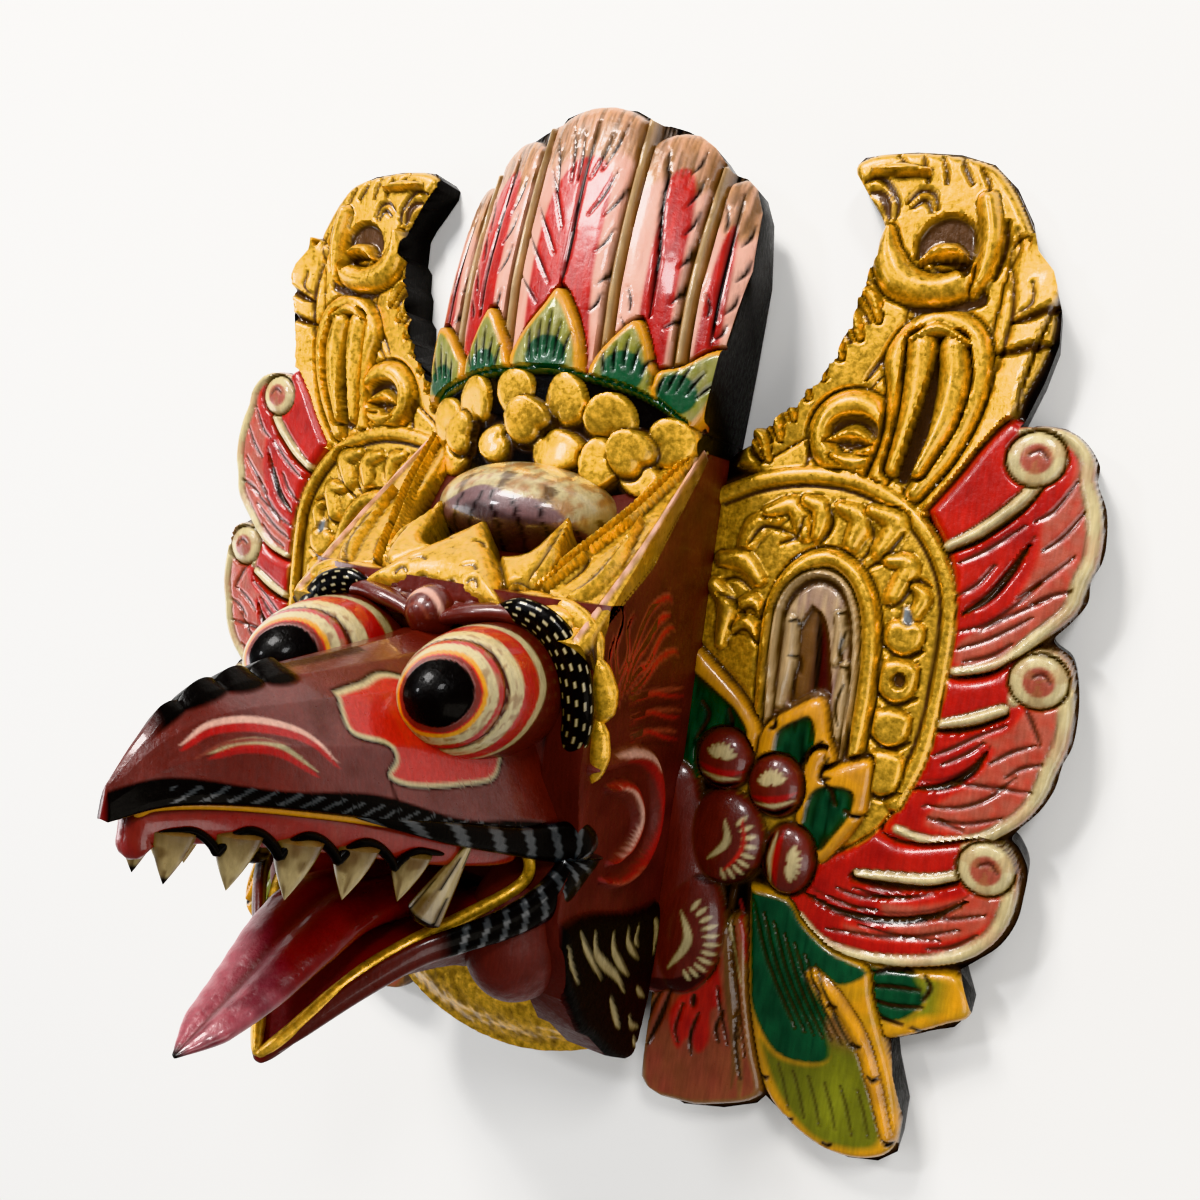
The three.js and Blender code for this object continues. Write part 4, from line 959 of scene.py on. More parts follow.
    # Painted shade: see-through black strokes darken the bottoms of the pod and of the large fruit.
    relief.stroke([(60, -166), (72, -165), (84, -156)], 7, p["black"], blunt=0.3, strength=0.75)
    relief.stroke([(74, -117), (88, -117), (98, -108)], 4, p["black"], blunt=0.4, strength=0.7)
    relief.stroke([(84.5, -90), (86.5, -99), (79, -108.5)], 3.0, p["cream"], blunt=0.8)
    relief.stroke([(72, -131), (76.5, -143), (69, -158)], 3.4, p["cream"], blunt=0.8)
    for centre, reach, first, last, count in (((84, -100), 12.5, 52, -78, 9),
                                              ((70.5, -143), 16, 62, -62, 11)):
        for k in range(count):
            angle = math.radians(first + (last - first) * k / (count - 1))
            c, s = math.cos(angle), math.sin(angle)
            relief.stroke([(centre[0] + (reach - 4.2) * c, centre[1] + (reach - 3.2) * s * 1.1),
                           (centre[0] + (reach + 1.8) * c, centre[1] + (reach + 1.4) * s * 1.15)], 1.9,
                           p["cream"], blunt=0.7)
    relief.stroke([(91, -88), (93, -100), (86, -112)], 1.6, p["scarlet"] * 0.9, blunt=0.6)


def wing_outline():
    horn_edge = [(62, 52), (66, 56), (70, 58.5), (73, 65), (79, 66.5), (82, 73), (88, 74.5), (91, 81.5),
                 (95, 83.5), (97.5, 91),
                 (100.5, 94), (101.5, 102.5), (104.5, 106), (105, 116), (107, 120), (107.5, 128.5),
                 (110.5, 132),
                 (110.5, 144), (108, 149), (102, 157), (97, 164), (96.5, 168), (99, 170.6), (106, 171.4),
                 (118, 171.8), (134, 170.2),
                 (146, 166.2), (155, 157.4), (162, 145.2), (165.4, 133.6), (171.4, 126.4), (175.6, 115),
                 (176.6, 103),
                 (174, 90), (170, 77), (168.5, 72.6), (174, 74.2)]
    right = [(183, 74), (190, 70), (195.5, 62.5), (196, 56), (200, 47), (201.6, 37), (201.4, 29), (199, 22),
             (199, 14), (194.6, 6),
             (190.6, 0.4), (192, -2.4), (197.4, -6), (200.4, -14), (202, -24), (202, -36), (199.8, -44),
             (198.6, -53),
             (195, -62), (189.4, -70), (187.6, -74), (190.6, -77), (194.4, -84), (194.6, -94),
             (193.6, -104),
             (189.4, -114), (182, -122.4), (177.8, -126.6)]
    right = [tuple(spot) for spot in smooth_line(right, 130)]
    return horn_edge + right + [(184, -141), (179, -148.6), (157.6, -161), (160.6, -173), (166.4, -189),
                                (166.4, -203),
                                (160, -209.4), (149, -212.6), (136, -211.6), (126, -207.6), (114, -200.6),
                                (111, -205), (98, -212),
                                (81, -217), (62, -212)]


def wing_piece():
    p = paints()
    step = bpy.context.scene.mask_sizes.wing_step / MM
    relief = Relief(WING_A, WING_B, step, height=LOW, colour=p["black"])
    horn(relief, p)
    for parts in FEATHERS:
        feather(relief, parts, p)
    ring(relief, p)
    lower_carving(relief, p)
    # Brown in every cut: glazing on the gold, painted shade on the enamel.
    relief.glaze_and_shade(p["old_gold"] * 0.5)
    relief.handwork(1)
    piece = carved("carved_wing_right", relief, on_panel, lambda a, b: on_panel(a, b, 0 * a), p["black"])
    outline = [(a - 0.001 if a > 62 else a, b) for a, b in wing_outline()]
    trim(piece, prism(outline, on_panel, -5, 60))
    return piece


# Head. Closed forms are turned from a sphere's grid, so that each stays one closed skin.

def turned(name, around, along_it, place, relief=None, colour=None, gold=0.0):
    """A closed form: place(u, v, h) with u round it and v from end to end; the relief's grid is (u, v)."""
    deselect()
    bpy.ops.mesh.primitive_uv_sphere_add(segments=around, ring_count=along_it, radius=1)
    piece = bpy.context.object
    piece.name = piece.data.name = name
    ball = get_places(piece.data).astype(float)
    i = np.rint((np.arctan2(ball[:, 1], ball[:, 0]) / (2 * math.pi) % 1) * around).astype(int) % around
    j = np.rint(np.arccos(np.clip(-ball[:, 2], -1, 1)) / math.pi * along_it).astype(int)
    u, v = i / around, j / along_it
    rise = relief.height[j, i] if relief else np.zeros(len(u))
    places = np.stack(place(u, v, rise), -1)
    places[:, 1] += BROW_LINE
    set_places(piece.data, places * MM)
    face_out(piece.data)
    if relief:
        write_paint(piece.data, relief.colour[j, i], relief.gold[j, i])
    else:
        paint = colour(u, v) if callable(colour) else np.zeros((len(u), 3)) + colour
        write_paint(piece.data, paint, np.zeros(len(u)) + (gold(u, v) if callable(gold) else gold))
    return piece


def tube(name, line, radius, colour, gold=0.0, around=16, steps=60, flat=1.0, axis=(0, 1.0, 0.001)):
    """A rod along a line through (x, y, z), with its radius as a list and rounded ends.
    It is flat times as wide across its line and the axis as it is thick along the axis."""
    path = smooth_space(line, steps + 1)
    way = np.gradient(path, axis=0)
    way /= np.linalg.norm(way, axis=1)[:, None]
    side = np.cross(way, axis)
    side /= np.linalg.norm(side, axis=1)[:, None]
    over = np.cross(side, way)

    def place(u, v, h):
        k = np.rint(v * steps).astype(int)
        closing = np.sqrt(np.clip(1 - np.abs(2 * v - 1) ** 24, 0, 1))
        r = along(radius, v) * closing
        turn = 2 * math.pi * u
        spot = path[k] + side[k] * (r * np.cos(turn) * flat)[:,
                                                             None] + over[k] * (r * np.sin(turn))[:, None]
        return spot.T

    return turned(name, around, steps, place, colour=colour, gold=gold)


def smooth_space(points, count):
    p = np.array(points, float)
    flat = smooth_line(p[:, :2], count)
    deep = smooth_line(p[:, 1:], count)
    return np.column_stack([flat, deep[:, 1]])


def on_face(a, b, h):
    return a, b, h + 0 * a


def on_side(a, b, h):
    return HEAD_HALF + h + 0 * a, b, a


SLOPE_FOOT = (-11.0, HEAD_FRONT - 6)
SLOPE_TOP = (52.0, 40.0)
SLOPE_LENGTH = math.hypot(SLOPE_TOP[0] - SLOPE_FOOT[0], SLOPE_FOOT[1] - SLOPE_TOP[1])
SLOPE_UP = (SLOPE_TOP[0] - SLOPE_FOOT[0]) / SLOPE_LENGTH
SLOPE_BACK = (SLOPE_FOOT[1] - SLOPE_TOP[1]) / SLOPE_LENGTH


def on_slope(a, b, h):
    return a, SLOPE_FOOT[0] + b * SLOPE_UP + h * SLOPE_BACK, SLOPE_FOOT[1] - b * SLOPE_BACK + h * SLOPE_UP


# Beak: share of its length, height of the ridge and of the rim, and half width.
BEAK_ROOT = HEAD_FRONT - 22
BEAK = np.array([
    (0, -14, -90, 57), (0.16, -22, -86, 53), (0.36, -26, -79, 44), (0.55, -29, -71, 34),
    (0.7, -31, -65.5, 25),
    (0.82, -34, -62, 16.5), (0.92, -42, -61, 8.5), (1, -56, -64, 1.5)])


def smooth_beak(share, column):
    """The same lines as the sections, but eased between them."""
    line = smooth_line(BEAK[:, [0, column]], 240)
    return np.interp(share, line[:, 0], line[:, 1])


def crown_front(x, y):
    lean = np.clip((y - 107) / 77, 0, None) ** 1.4 * 17
    drop = (18 + np.clip(12 * (y - 91) / 72, 0, None)) * (x / 67) ** 2
    return 62 - lean - drop


def on_crown(a, b, h):
    return a, b, crown_front(a, b) + h


CROWN_EDGE = [(30, 56), (60, 61), (90, 65), (122, 68), (146, 65.5), (157, 62), (161, 54), (168, 52),
              (172, 45), (178, 32),
              (181, 22), (183.6, 12)]


def crown_piece():
    """The fan of feathers behind its leaf collar."""
    p = paints()
    step = bpy.context.scene.mask_sizes.head_step / MM
    r = Relief((-70, 70), (58, 185), step, height=-3, colour=p["black"])
    feathers = [  # centre at foot and at tip, half width, tip
        (0, 0, 21, 183.6), (36, 37.5, 14.5, 174), (-36, -37.5, 14.5, 174), (57.5, 60, 8.5, 159),
        (-57.5, -60, 8.5, 159)]

    def ground(a, b, d, tip):
        brown = blend_paint(p["tan"] * 1.05, p["blush"], 0.5 * value_noise(a * 1.1, b * 0.2, 1.6, 5))
        dark = blend_paint(brown, p["tan"] * 0.5,
                           0.8 * ease((value_noise(a, b * 0.12, 1.2, 9) - 0.55) / 0.2))
        body = blend_paint(p["blush"], p["pink"], 0.35 * value_noise(a, b * 0.3, 2.4, 3))
        return blend_paint(body, dark, ease((b - (tip - 27) + 3 * np.sin(a / 3)) / 5))

    for foot, top, half, tip in feathers:
        left = [(foot - half, 66), (foot - half, 110), (top - half * 1.02, tip - 14),
                (top - half * 0.82, tip - 5)]
        right = [(2 * (foot + (top - foot) * min(1, i / 2)) - a, b) for i, (a, b) in enumerate(left)]
        edge = left + [(top - half * 0.4, tip - 1), (top, tip), (top + half * 0.4, tip - 1)] + right[::-1]
        region(r, edge, rise=4.2, base=-1.2, bevel=min(10, half * 0.9), gold=0,
               colour=lambda a, b, d, tip=tip: ground(a, b, d, tip))
    flames = [([(-13, 60), (-13, 130), (-8, 154), (2, 161), (11, 156), (14, 145), (14, 110), (16, 60)],
               161),
              ([(34, 60), (34, 140), (35, 155), (40, 158), (44, 150), (45.5, 128), (44, 60)], 158),
              ([(-31, 60), (-31, 140), (-33, 157), (-39, 158), (-45, 142), (-44, 60)], 158),
              ([(54, 60), (56, 120), (59, 139), (62, 128), (63, 100), (62, 60)], 139),
              ([(-54, 60), (-56, 110), (-59, 128), (-62, 110), (-62, 60)], 130)]
    for edge, tip in flames:
        region(r, edge, soft=0.8, colour=lambda a, b, d: blend_paint(
            p["scarlet"], p["red"], 0.4 + 0.8 * value_noise(a, b * 0.15, 1.8,
                                                            4) - ease((b - 110) / 60) * 0.4))
    # Quills between the feathers, and the fine black one down each.
    for x0, x1, top in ((22, 22, 176), (-22, -22, 174), (49.5, 51.5, 160), (-49.5, -51.5, 160)):
        r.blade([(x0, 62), (x0 + (x1 - x0) * 0.4, 120), (x1, top + 2)], [3.2, 3.2, 2.6], roof(-1.6, -0.6),
                p["tan"] * 0.4, 0)
        r.blade([(x0, 62), (x0 + (x1 - x0) * 0.4, 120), (x1, top + 1)], [2.0, 2.0, 1.6], roof(0, 2.6, 2),
                lambda t, v: blend_paint(p["tan"], p["cream"] * 0.75, 0.5 * (1 - v ** 2)), 0)
    for line in ([(1, 108), (2.2, 122), (1.4, 150), (1.4, 176)],
                 [(37.5, 98), (37, 120), (34, 142), (33.4, 156)],
                 [(-38, 96), (-38, 120), (-37, 150), (-37, 165)], [(60, 90), (60, 118), (59.5, 152)],
                 [(-59, 88), (-59, 118), (-59, 146)]):
        r.stroke(line, 1.9, p["black"], cut=1.2, blunt=0.35)
    barbs = [((x, y), (x + dx, y - dy)) for x, y, dx, dy in (
        (-16, 170, 7, 24), (-9, 174, 5, 24), (-15, 157, 12, 26), (-17.5, 142, 14, 22), (-19, 130, 15, 21),
        (-19, 113, 11, 12),
        (-4, 172, 3, 22), (14, 176, -6, 22), (9, 171, -5, 20), (15, 156, -8, 20), (19.4, 150, -6, 14),
        (18, 132, -5, 10),
        (19.6, 118, -4, 9), (18, 107, -4, 8), (31, 166, 2, 20), (46, 156, -4, 14), (47, 142, -3.4, 11),
        (47.4, 128, -3, 10),
        (47.4, 114, -3.4, 10), (48, 102, -5, 7), (28, 110, 2, 10), (27, 98, 3, 8), (44, 166, -3, 10),
        (-28, 156, -4, 18),
        (-27.5, 140, -5, 14), (-27, 126, -4, 12), (-28, 108, -4, 12), (-47, 150, 4, 18), (-46, 134, 4, 14),
        (-46, 118, 4, 12),
        (-45, 104, 3, 8), (65.5, 140, -2.4, 10), (67, 126, -3, 10), (66, 112, -3.4, 9), (64, 100, -3, 7),
        (55, 146, 2, 12),
        (56, 110, 1.4, 9), (-52, 120, -2, 12), (-53, 104, -2, 10), (-64, 120, 2, 12))]
    for start, end in barbs:
        middle = ((start[0] + end[0]) / 2 + 0.8, (start[1] + end[1]) / 2 - 0.6)
        r.stroke([start, middle, end], 1.35, p["black"], cut=0.8, blunt=0.7)
    for k in range(70):
        x = -66 + 132 * ((k * 0.618) % 1)
        top = 182 - 0.0062 * x * x
        r.stroke([(x, top), (x + 0.5, top - 9), (x - 0.2, top - 18 - 6 * ((k * 0.37) % 1))], 0.9,
                 p["tan"] * 0.42, cut=0.35,
                 strength=0.55, blunt=0.8)
    # Leaf collar.
    leaves = [([(-18, 70), (-17.5, 80), (-12, 91), (-4, 101), (2, 107.5), (9, 99), (14, 88), (16, 78),
                (14, 68)], (0.5, 80), 9),
              ([(-42, 68), (-42, 77), (-38, 88), (-31, 100), (-23, 91), (-17.5, 79), (-16, 68)], (-30, 76),
               7),
              ([(17, 68), (18.5, 79), (25, 89), (34, 97.5), (39, 90), (42, 81), (45.5, 74), (43, 64)],
               (32, 77), 8),
              ([(-66, 60), (-65, 82), (-62, 93.5), (-54, 90), (-46, 81), (-41.5, 76), (-44, 62)], (-55, 70),
               7),
              ([(42, 72), (44, 79), (52, 82), (62, 89), (68.5, 89), (67, 76), (62, 62), (56, 58)], (52, 71),
               7.5)]
    for edge, blot, size in leaves:
        outline = np.array(edge)
        middle = outline.mean(0)
        # Painted shade: a dark, lower copy of each leaf, shifted up, shows round its top.
        region(r, outline + (0, 1.6), rise=0.2, base=-0.4, colour=p["maroon"] * 0.3, gold=0)
        region(r, edge, rise=3.4, base=3.4, bevel=4, gold=0,
               colour=lambda a, b, d: blend_paint(p["yellow"], p["tan"], 0.35 * value_noise(a, b, 2.5, 31)))
        region(r, middle + (outline - middle) * 0.78, soft=0.8,
               colour=lambda a, b, d: blend_paint(p["olive"], p["cream"] * 0.8,
                                                  0.4 * value_noise(a, b * 0.4, 1.8, 17)))
        r.disc(blot, size, None, p["green"] * 0.9)
        tip = outline[np.argmax(outline[:, 1])]
        for k in range(-2, 3):
            start = (blot[0] + 3.4 * k, blot[1] + 1 - abs(k))
            end = (start[0] + (tip[0] - blot[0]) * 0.45 + 1.1 * k,
                   start[1] + (tip[1] - blot[1]) * (0.62 - 0.1 * abs(k)))
            r.stroke([start, ((start[0] + end[0]) / 2 - 0.4, (start[1] + end[1]) / 2), end], 1.5,
                     p["black"], cut=0.7, blunt=0.8)
    region(r, [(-66, 56), (-58, 61), (-50, 66.5), (-30, 73), (0, 76), (20, 73.5), (40, 69), (57, 60),
               (66, 56)], rise=0.3, base=1.0,
           colour=p["black"], gold=0)
    r.blade([(-57, 62), (-50, 67), (-30, 73.4), (0, 76.4), (20, 74), (40, 69.4), (56, 61)], 1.2,
            roof(2.5, 4.2), p["green"] * 0.8, 0)
    r.handwork(12)
    piece = carved("crown", r, on_crown, lambda a, b: (a, b, (b - 58) / 124 * 20 * np.ones_like(a)),
                   p["black"])
    edge = [(x, y) for y, x in CROWN_EDGE if y >= 60]
    right = [(61.5, 58)] + edge
    tips = [(-12, 183.6), (-19, 182), (-22, 177.6), (-26, 178), (-45, 173), (-51, 163), (-54, 160.5),
            (-62, 157), (-65.5, 146),
            (-68, 122), (-65, 90), (-61.5, 58)]
    fan = [(61.5, 58), (65, 90), (68, 122), (66.5, 146), (63, 155), (57.5, 160), (53, 160.6), (50.6, 163.5),
           (46, 169), (40, 173),
           (34, 175.6), (27, 177), (22.5, 176.6), (19, 179.6), (13, 182.6), (0, 183.7)] + tips
    trim(piece, prism(fan, on_face, -20, 90))
    return piece


# Gilt petals on the black band: middle, half width and height, rise, and the way each is tilted.
PETALS = (
    (-50, 53, 8, 11, 2.2, 2.6), (-43, 40, 7, 8.5, 2.0, 3.6), (-34, 62, 8.4, 10, 2.8, 1.8),
    (-40, 49, 6.5, 9, 4.6, 3.0),
    (-13, 66, 8.4, 10, 2.8, 2.2), (9, 64.5, 9, 10.2, 2.6, 1.0), (-21, 46.5, 6.8, 7.6, 2.4, 3.8),
    (7.5, 46, 11, 8.6, 2.8, -0.8),
    (-5, 56, 9.6, 9, 5.6, 2.6), (28, 59.5, 10.4, 9, 2.6, 1.8), (51, 53, 9.4, 9.6, 2.6, 0.6),
    (26.5, 43, 8, 10, 2.4, 3.8),
    (42, 38, 8, 6.4, 2.0, -0.8), (38.5, 47, 8.8, 9, 5.2, 2.4))


def band_piece():
    """The black band under the fan, heaped with gilt blossoms."""
    p = paints()
    step = bpy.context.scene.mask_sizes.head_step / MM
    r = Relief((-64, 64), (26, 78), step, height=0, colour=p["black"])
    for x, y, wide, tall, rise, lean in PETALS:
        def petal(q, angle, rise=rise, lean=lean):
            return rise + 2.0 * np.clip(1 - q ** 6, 0, 1) ** 0.5 + 1.8 * q * np.cos(angle - lean)

        def reach(angle, lean=lean):
            base = np.abs((angle - lean) % (2 * math.pi) - math.pi)
            return (1.0 + 0.08 * np.cos(angle - lean) + 0.05 * np.sin(3 * angle + x)
                    - 0.24 * np.exp(-(base / 0.4) ** 2))

        # Painted light and shade: each petal's gold is brighter on its raised side and darker on its low
        # side.
        def gilt(q, angle, lean=lean):
            return blend_paint(p["gold"] * 1.1, p["gold"] * 0.55,
                               0.7 * ease(0.5 - 0.9 * q * np.cos(angle - lean)))

        # Painted shadow: a dark, lower copy of each petal, set off a little down and to one side, shows round
        # its edge.
        r.disc((x + 0.5, y - 0.7), (wide + 1.1, tall + 1.1), rise - 2.2, p["old_gold"] * 0.2, gold=0.2,
               reach=reach)
        r.disc((x, y), (wide, tall), petal, gilt, gold=1, reach=reach)
    # Brown in the cuts between the blossoms: glazing on the gold and painted shade.
    r.glaze_and_shade(p["old_gold"] * 0.5)
    r.handwork(14)
    edge = [(-56, 28), (56, 28), (60.6, 50), (62.6, 76), (40, 77), (-40, 77), (-62.6, 76), (-60.6, 50)]
    piece = carved("crown_band", r, on_crown, lambda a, b: (a, b, 4 + 0 * a), p["black"])
    trim(piece, prism(edge, on_face, -20, 90))
    return piece


def dome_piece():
    """The dome above the plaque: cream top band with notches, mauve below with dark arcs."""
    p = paints()
    around, rows = 150, 80
    centre, radii = np.array((0, 20, 64)), np.array((38, 20, 30))

    def place(u, v, h):
        turn, tilt = 2 * math.pi * u, math.pi * v
        return (centre[0] + radii[0] * np.sin(tilt) * np.cos(turn),
                centre[1] - radii[1] * np.cos(tilt),
                centre[2] + radii[2] * np.sin(tilt) * np.sin(turn) + h)

    def colour(u, v):
        x, y, z = place(u, v, 0)
        level = y - 21 + 0.011 * x ** 2
        streak = value_noise(x, y * 0.4 - z * 0.4, 2.0, 3)
        paint = blend_paint(p["mauve"] * 0.22, p["mauve"] * 0.75,
                            ease((level + 1 + 1.5 * np.sin(x / 5)) / 3) + 0.25 * (streak - 0.5))
        top = blend_paint(p["cream"] * 0.75, p["tan"] * 0.8, 0.9 * ease((streak - 0.3) / 0.5))
        paint = blend_paint(paint, top, ease((level - 6.6 + 1.0 * np.sin(x / 4.5)) / 1.0))
        for k in range(-4, 5):
            middle = 9.0 * k + 1.5
            bow = 2.2 * np.sin((y - 4) / 5)
            line = np.abs(x - middle - bow * (1 if k >= 0 else -1)) - 0.55
            paint = blend_paint(paint, p["black"] * 1.5,
                                np.clip(1 - line / 0.5, 0, 1) * (level < 6) * (level > -16) * 0.9)
            notch = np.abs(x - middle) - np.clip((level - 5) * 0.3, 0, 2.4)
            paint = blend_paint(paint, p["tan"] * 0.2,
                                np.clip(1 - notch / 0.5, 0, 1) * (level > 5) * (level < 14)
                                * (k % 2 == 0) * 0.85)
        return paint

    return turned("dome", around, rows, place, colour=colour)


def diadem_piece():
    """Gilt diadem on the slope above the brow: plaque, side leaves, railed bands and small drops."""
    p = paints()
    gold, deep = p["gold"], p["old_gold"]
    step = bpy.context.scene.mask_sizes.head_step / MM
    r = Relief((-62, 62), (-14, 98), step, height=-2, colour=deep * 0.4, gold=0.3)
    r.height -= 8 * ease((r.b - 16) / 8) * ease((30 + 0.3 * r.b - np.abs(r.a)) / 5)
    for side in (-1, 1):
        def at(points):
            return [(side * a, b) for a, b in points]
        # Outer band with its raised rails and drops.
        region(r, at([(42, -12), (61.5, -12), (61.5, 97), (50, 97), (46, 70), (42, 44), (33, 20), (36, 2)]),
               rise=3, base=-1,
               bevel=2, colour=gold, gold=1)
        for rail in (0, 4.2):
            r.blade(at([(31.5 + rail, 6), (39 + rail, 28), (48 + rail, 54), (57.4 + rail * 0.6, 90)]), 1.2,
                    roof(2, 6.0), gold, 1)
        r.stroke(at([(33.6, 6), (41.2, 28), (50.2, 54), (58.8, 88)]), 1.5, deep * 0.4, cut=1.4, gold=0.3,
                 blunt=0.3)
        r.blade(at([(43, -2), (50, 8), (54, 26), (54.6, 48)]), [1, 4.0, 3.6, 0.8], roof(2, 6.4), gold, 1)
        r.stroke(at([(44, 0), (51.6, 13), (54.6, 36)]), 1.2, deep * 0.4, cut=1.2, gold=0.2)
        # Pinkish edge line beside the side wall.
        r.blade(at([(57.4, -12), (59, 10), (60.6, 40), (61, 94)]), 1.1, roof(2.4, 3.6),
                lambda t, v: blend_paint(p["blush"], p["tan"], 0.35 + 0.35 * np.sin(t * 60)), 0)
        # Side leaf with its peak.
        region(r, at([(12, 17), (22, 21), (25, 32), (28, 45), (32, 31), (35.5, 20), (32, 7), (27, 0),
                      (16, 8)]),
               rise=6.5, base=1.5, bevel=6, colour=gold * 1.1, gold=1)
        region(r, at([(22, -4), (28, 3), (38, 5), (48, 1), (54, -5), (50, -9), (36, -11), (26, -11)]),
               rise=5, base=1.5, bevel=5,
               colour=gold, gold=1)
        r.stroke(at([(28, 40), (31, 20), (30, 6)]), 1.2, deep * 0.4, cut=1.3, gold=0.2)
        r.stroke(at([(24, 3), (34, 6.4), (46, 3), (54, -3)]), 1.4, deep * 0.4, cut=1.5, gold=0.2)
        r.stroke(at([(41, 12), (44, 22), (42, 30)]), 1.6, deep * 0.4, cut=1.3, gold=0.2)
        for a, b in ((17, -1), (10, 12), (8, 0)):
            r.stroke(at([(a - 3, b + 0.6), (a, b - 1), (a + 3, b + 0.8)]), 1.4, deep * 0.6, cut=1.1,
                     gold=0.2)
    # Middle plaque with its crease.
    region(r, [(-29, -9), (-20, 6), (-9, 20), (0, 32), (9, 20), (20, 6), (29, -9), (14, -6), (0, -3),
               (-14, -6)], rise=6.5, base=5.4,
           bevel=8, colour=gold, gold=1, smooth=False)
    for side in (-1, 1):
        r.stroke([(side * 2, 31), (side * 11, 19), (side * 22, 5), (side * 30, -9)], 1.3, deep * 0.35,
                 cut=1.6, gold=0.2, blunt=0.2)
    for side in (-1, 1):
        for a, b, size in ((7, 16, 3), (11, 3, 4), (6, -4, 3), (15, -3, 3)):
            r.stroke([(side * (a - size), b), (side * a, b + 1.6), (side * (a + size * 0.8), b - 1.2)], 1.5,
                     deep * 0.6, cut=1.2,
                     gold=0.2)
    # Brown in every cut of the diadem: glazing on the gold and painted shade.
    r.glaze_and_shade(deep * 0.5)
    r.handwork(16)
    piece = carved("diadem", r, on_slope, lambda a, b: on_slope(a, b, -14 + 0 * a), p["black"])
    return piece


def face_piece():
    """The front of the head about the eyes: a maroon skin that falls away to the sides, with the brow ridge
    across it.
    """
    p = paints()
    step = 1.4 * bpy.context.scene.mask_sizes.head_step / MM
    maroon = p["maroon"]
    r = Relief((-62, 62), (-94, -6), step, height=0, colour=maroon)
    r.height[:] = HEAD_FRONT - 5.5 * np.clip((np.abs(r.a) - 30) / 32, 0, 1) ** 2 * 2
    r.height += 3.0 * ease((r.b + 26) / 12) - 4 * ease((-70 - r.b) / 20)
    r.colour *= (0.9 + 0.3 * value_noise(r.a, r.b, 6, 2))[..., None]
    front = HEAD_FRONT
    r.blade([(-34, -11), (-18, -14), (0, -17), (18, -14), (34, -11)], [2, 3, 3.6, 3, 2],
            roof(front + 2, front + 6), maroon, 0)
    # Painted shade: brown laid in the hollows of the face and beside the brow ridge.
    r.glaze_and_shade(p["old_gold"] * 0.35, depth=1.6)
    r.handwork(18)
    piece = carved("face", r, on_face, lambda a, b: (a, b, 70 + 0 * a), p["plum"])
    return piece


EYE_CENTRE = (31.0, -38.0, 129.0)
EYE_HALF = (22.5, 22.5, 42.0)
EYE_BALL = (31.0, -38.0, 150.0)
EYE_GAZE = {1: (17, 14), -1: (24, 15)}  # degrees to the viewer's right and up
EYE_RINGS = (  # angle from the pupil's middle, paint, and how dark it is
    (33, "black", 1.0), (40, "maroon", 1.5), (42, "scarlet", 1.0), (47, "yellow", 1.0), (59, "cream", 0.92),
    (66, "red", 1.1),
    (72, "maroon", 0.4), (87, "cream", 0.97), (102, "red", 1.1), (108, "cream", 0.8), (190, "maroon", 0.7))


def eye_piece(side):
    """A bulging eye, carved as the end of an egg and painted in rings about its pupil."""
    p = paints()
    turn, tilt = (math.radians(angle) for angle in EYE_GAZE[side])
    gaze = np.array((math.sin(turn) * math.cos(tilt), math.sin(tilt), math.cos(turn) * math.cos(tilt)))
    centre, half, ball = (np.array(v) for v in (EYE_CENTRE, EYE_HALF, EYE_BALL))
    centre = centre * (side, 1, 1)
    ball = ball * (side, 1, 1)

    def egg(u, v):
        turn, tilt = 2 * math.pi * u, math.pi * v
        ring = np.array((np.sin(tilt) * np.cos(turn), np.sin(tilt) * np.sin(turn), -np.cos(tilt)))
        return centre[:, None] + half[:, None] * ring

    def angle_at(u, v):
        way = egg(u, v) - ball[:, None]
        return np.degrees(np.arccos(np.clip(gaze @ way / np.linalg.norm(way, axis=0), -1, 1)))

    def place(u, v, h):
        angle = angle_at(u, v)
        cut = 0.45 * (angle > 33) + 0.5 * np.exp(-((angle - 70) / 2.5) ** 2)
        spot = egg(u, v)
        away = (spot - centre[:, None]) / half[:, None] ** 2
        return spot - away / np.linalg.norm(away, axis=0) * cut

    def colour(u, v):
        angle = angle_at(u, v)
        turn = 2 * math.pi * u
        wobble = 0.9 * np.sin(3 * turn + 1) + 0.5 * np.sin(7 * turn)
        paint = np.zeros((len(u), 3))
        low = -1.0
        for high, pot, tone in EYE_RINGS:
            share = np.clip((angle - low - wobble * (low > 0)) / 1.2 + 0.5, 0, 1)
            paint = blend_paint(paint, p[pot] * tone, share)
            low = high
        streak = value_noise(turn * 12, angle * 0.5, 1.6, 2)
        worn = blend_paint(paint, p["tan"] * 0.6,
                           0.7 * ease((streak - 0.6) / 0.2) * (angle > 47) * (angle < 88))
        return worn * (0.9 + 0.2 * streak)[:, None]

    name = "eye_right" if side > 0 else "eye_left"
    return turned(name, 150, 150, place, colour=colour)


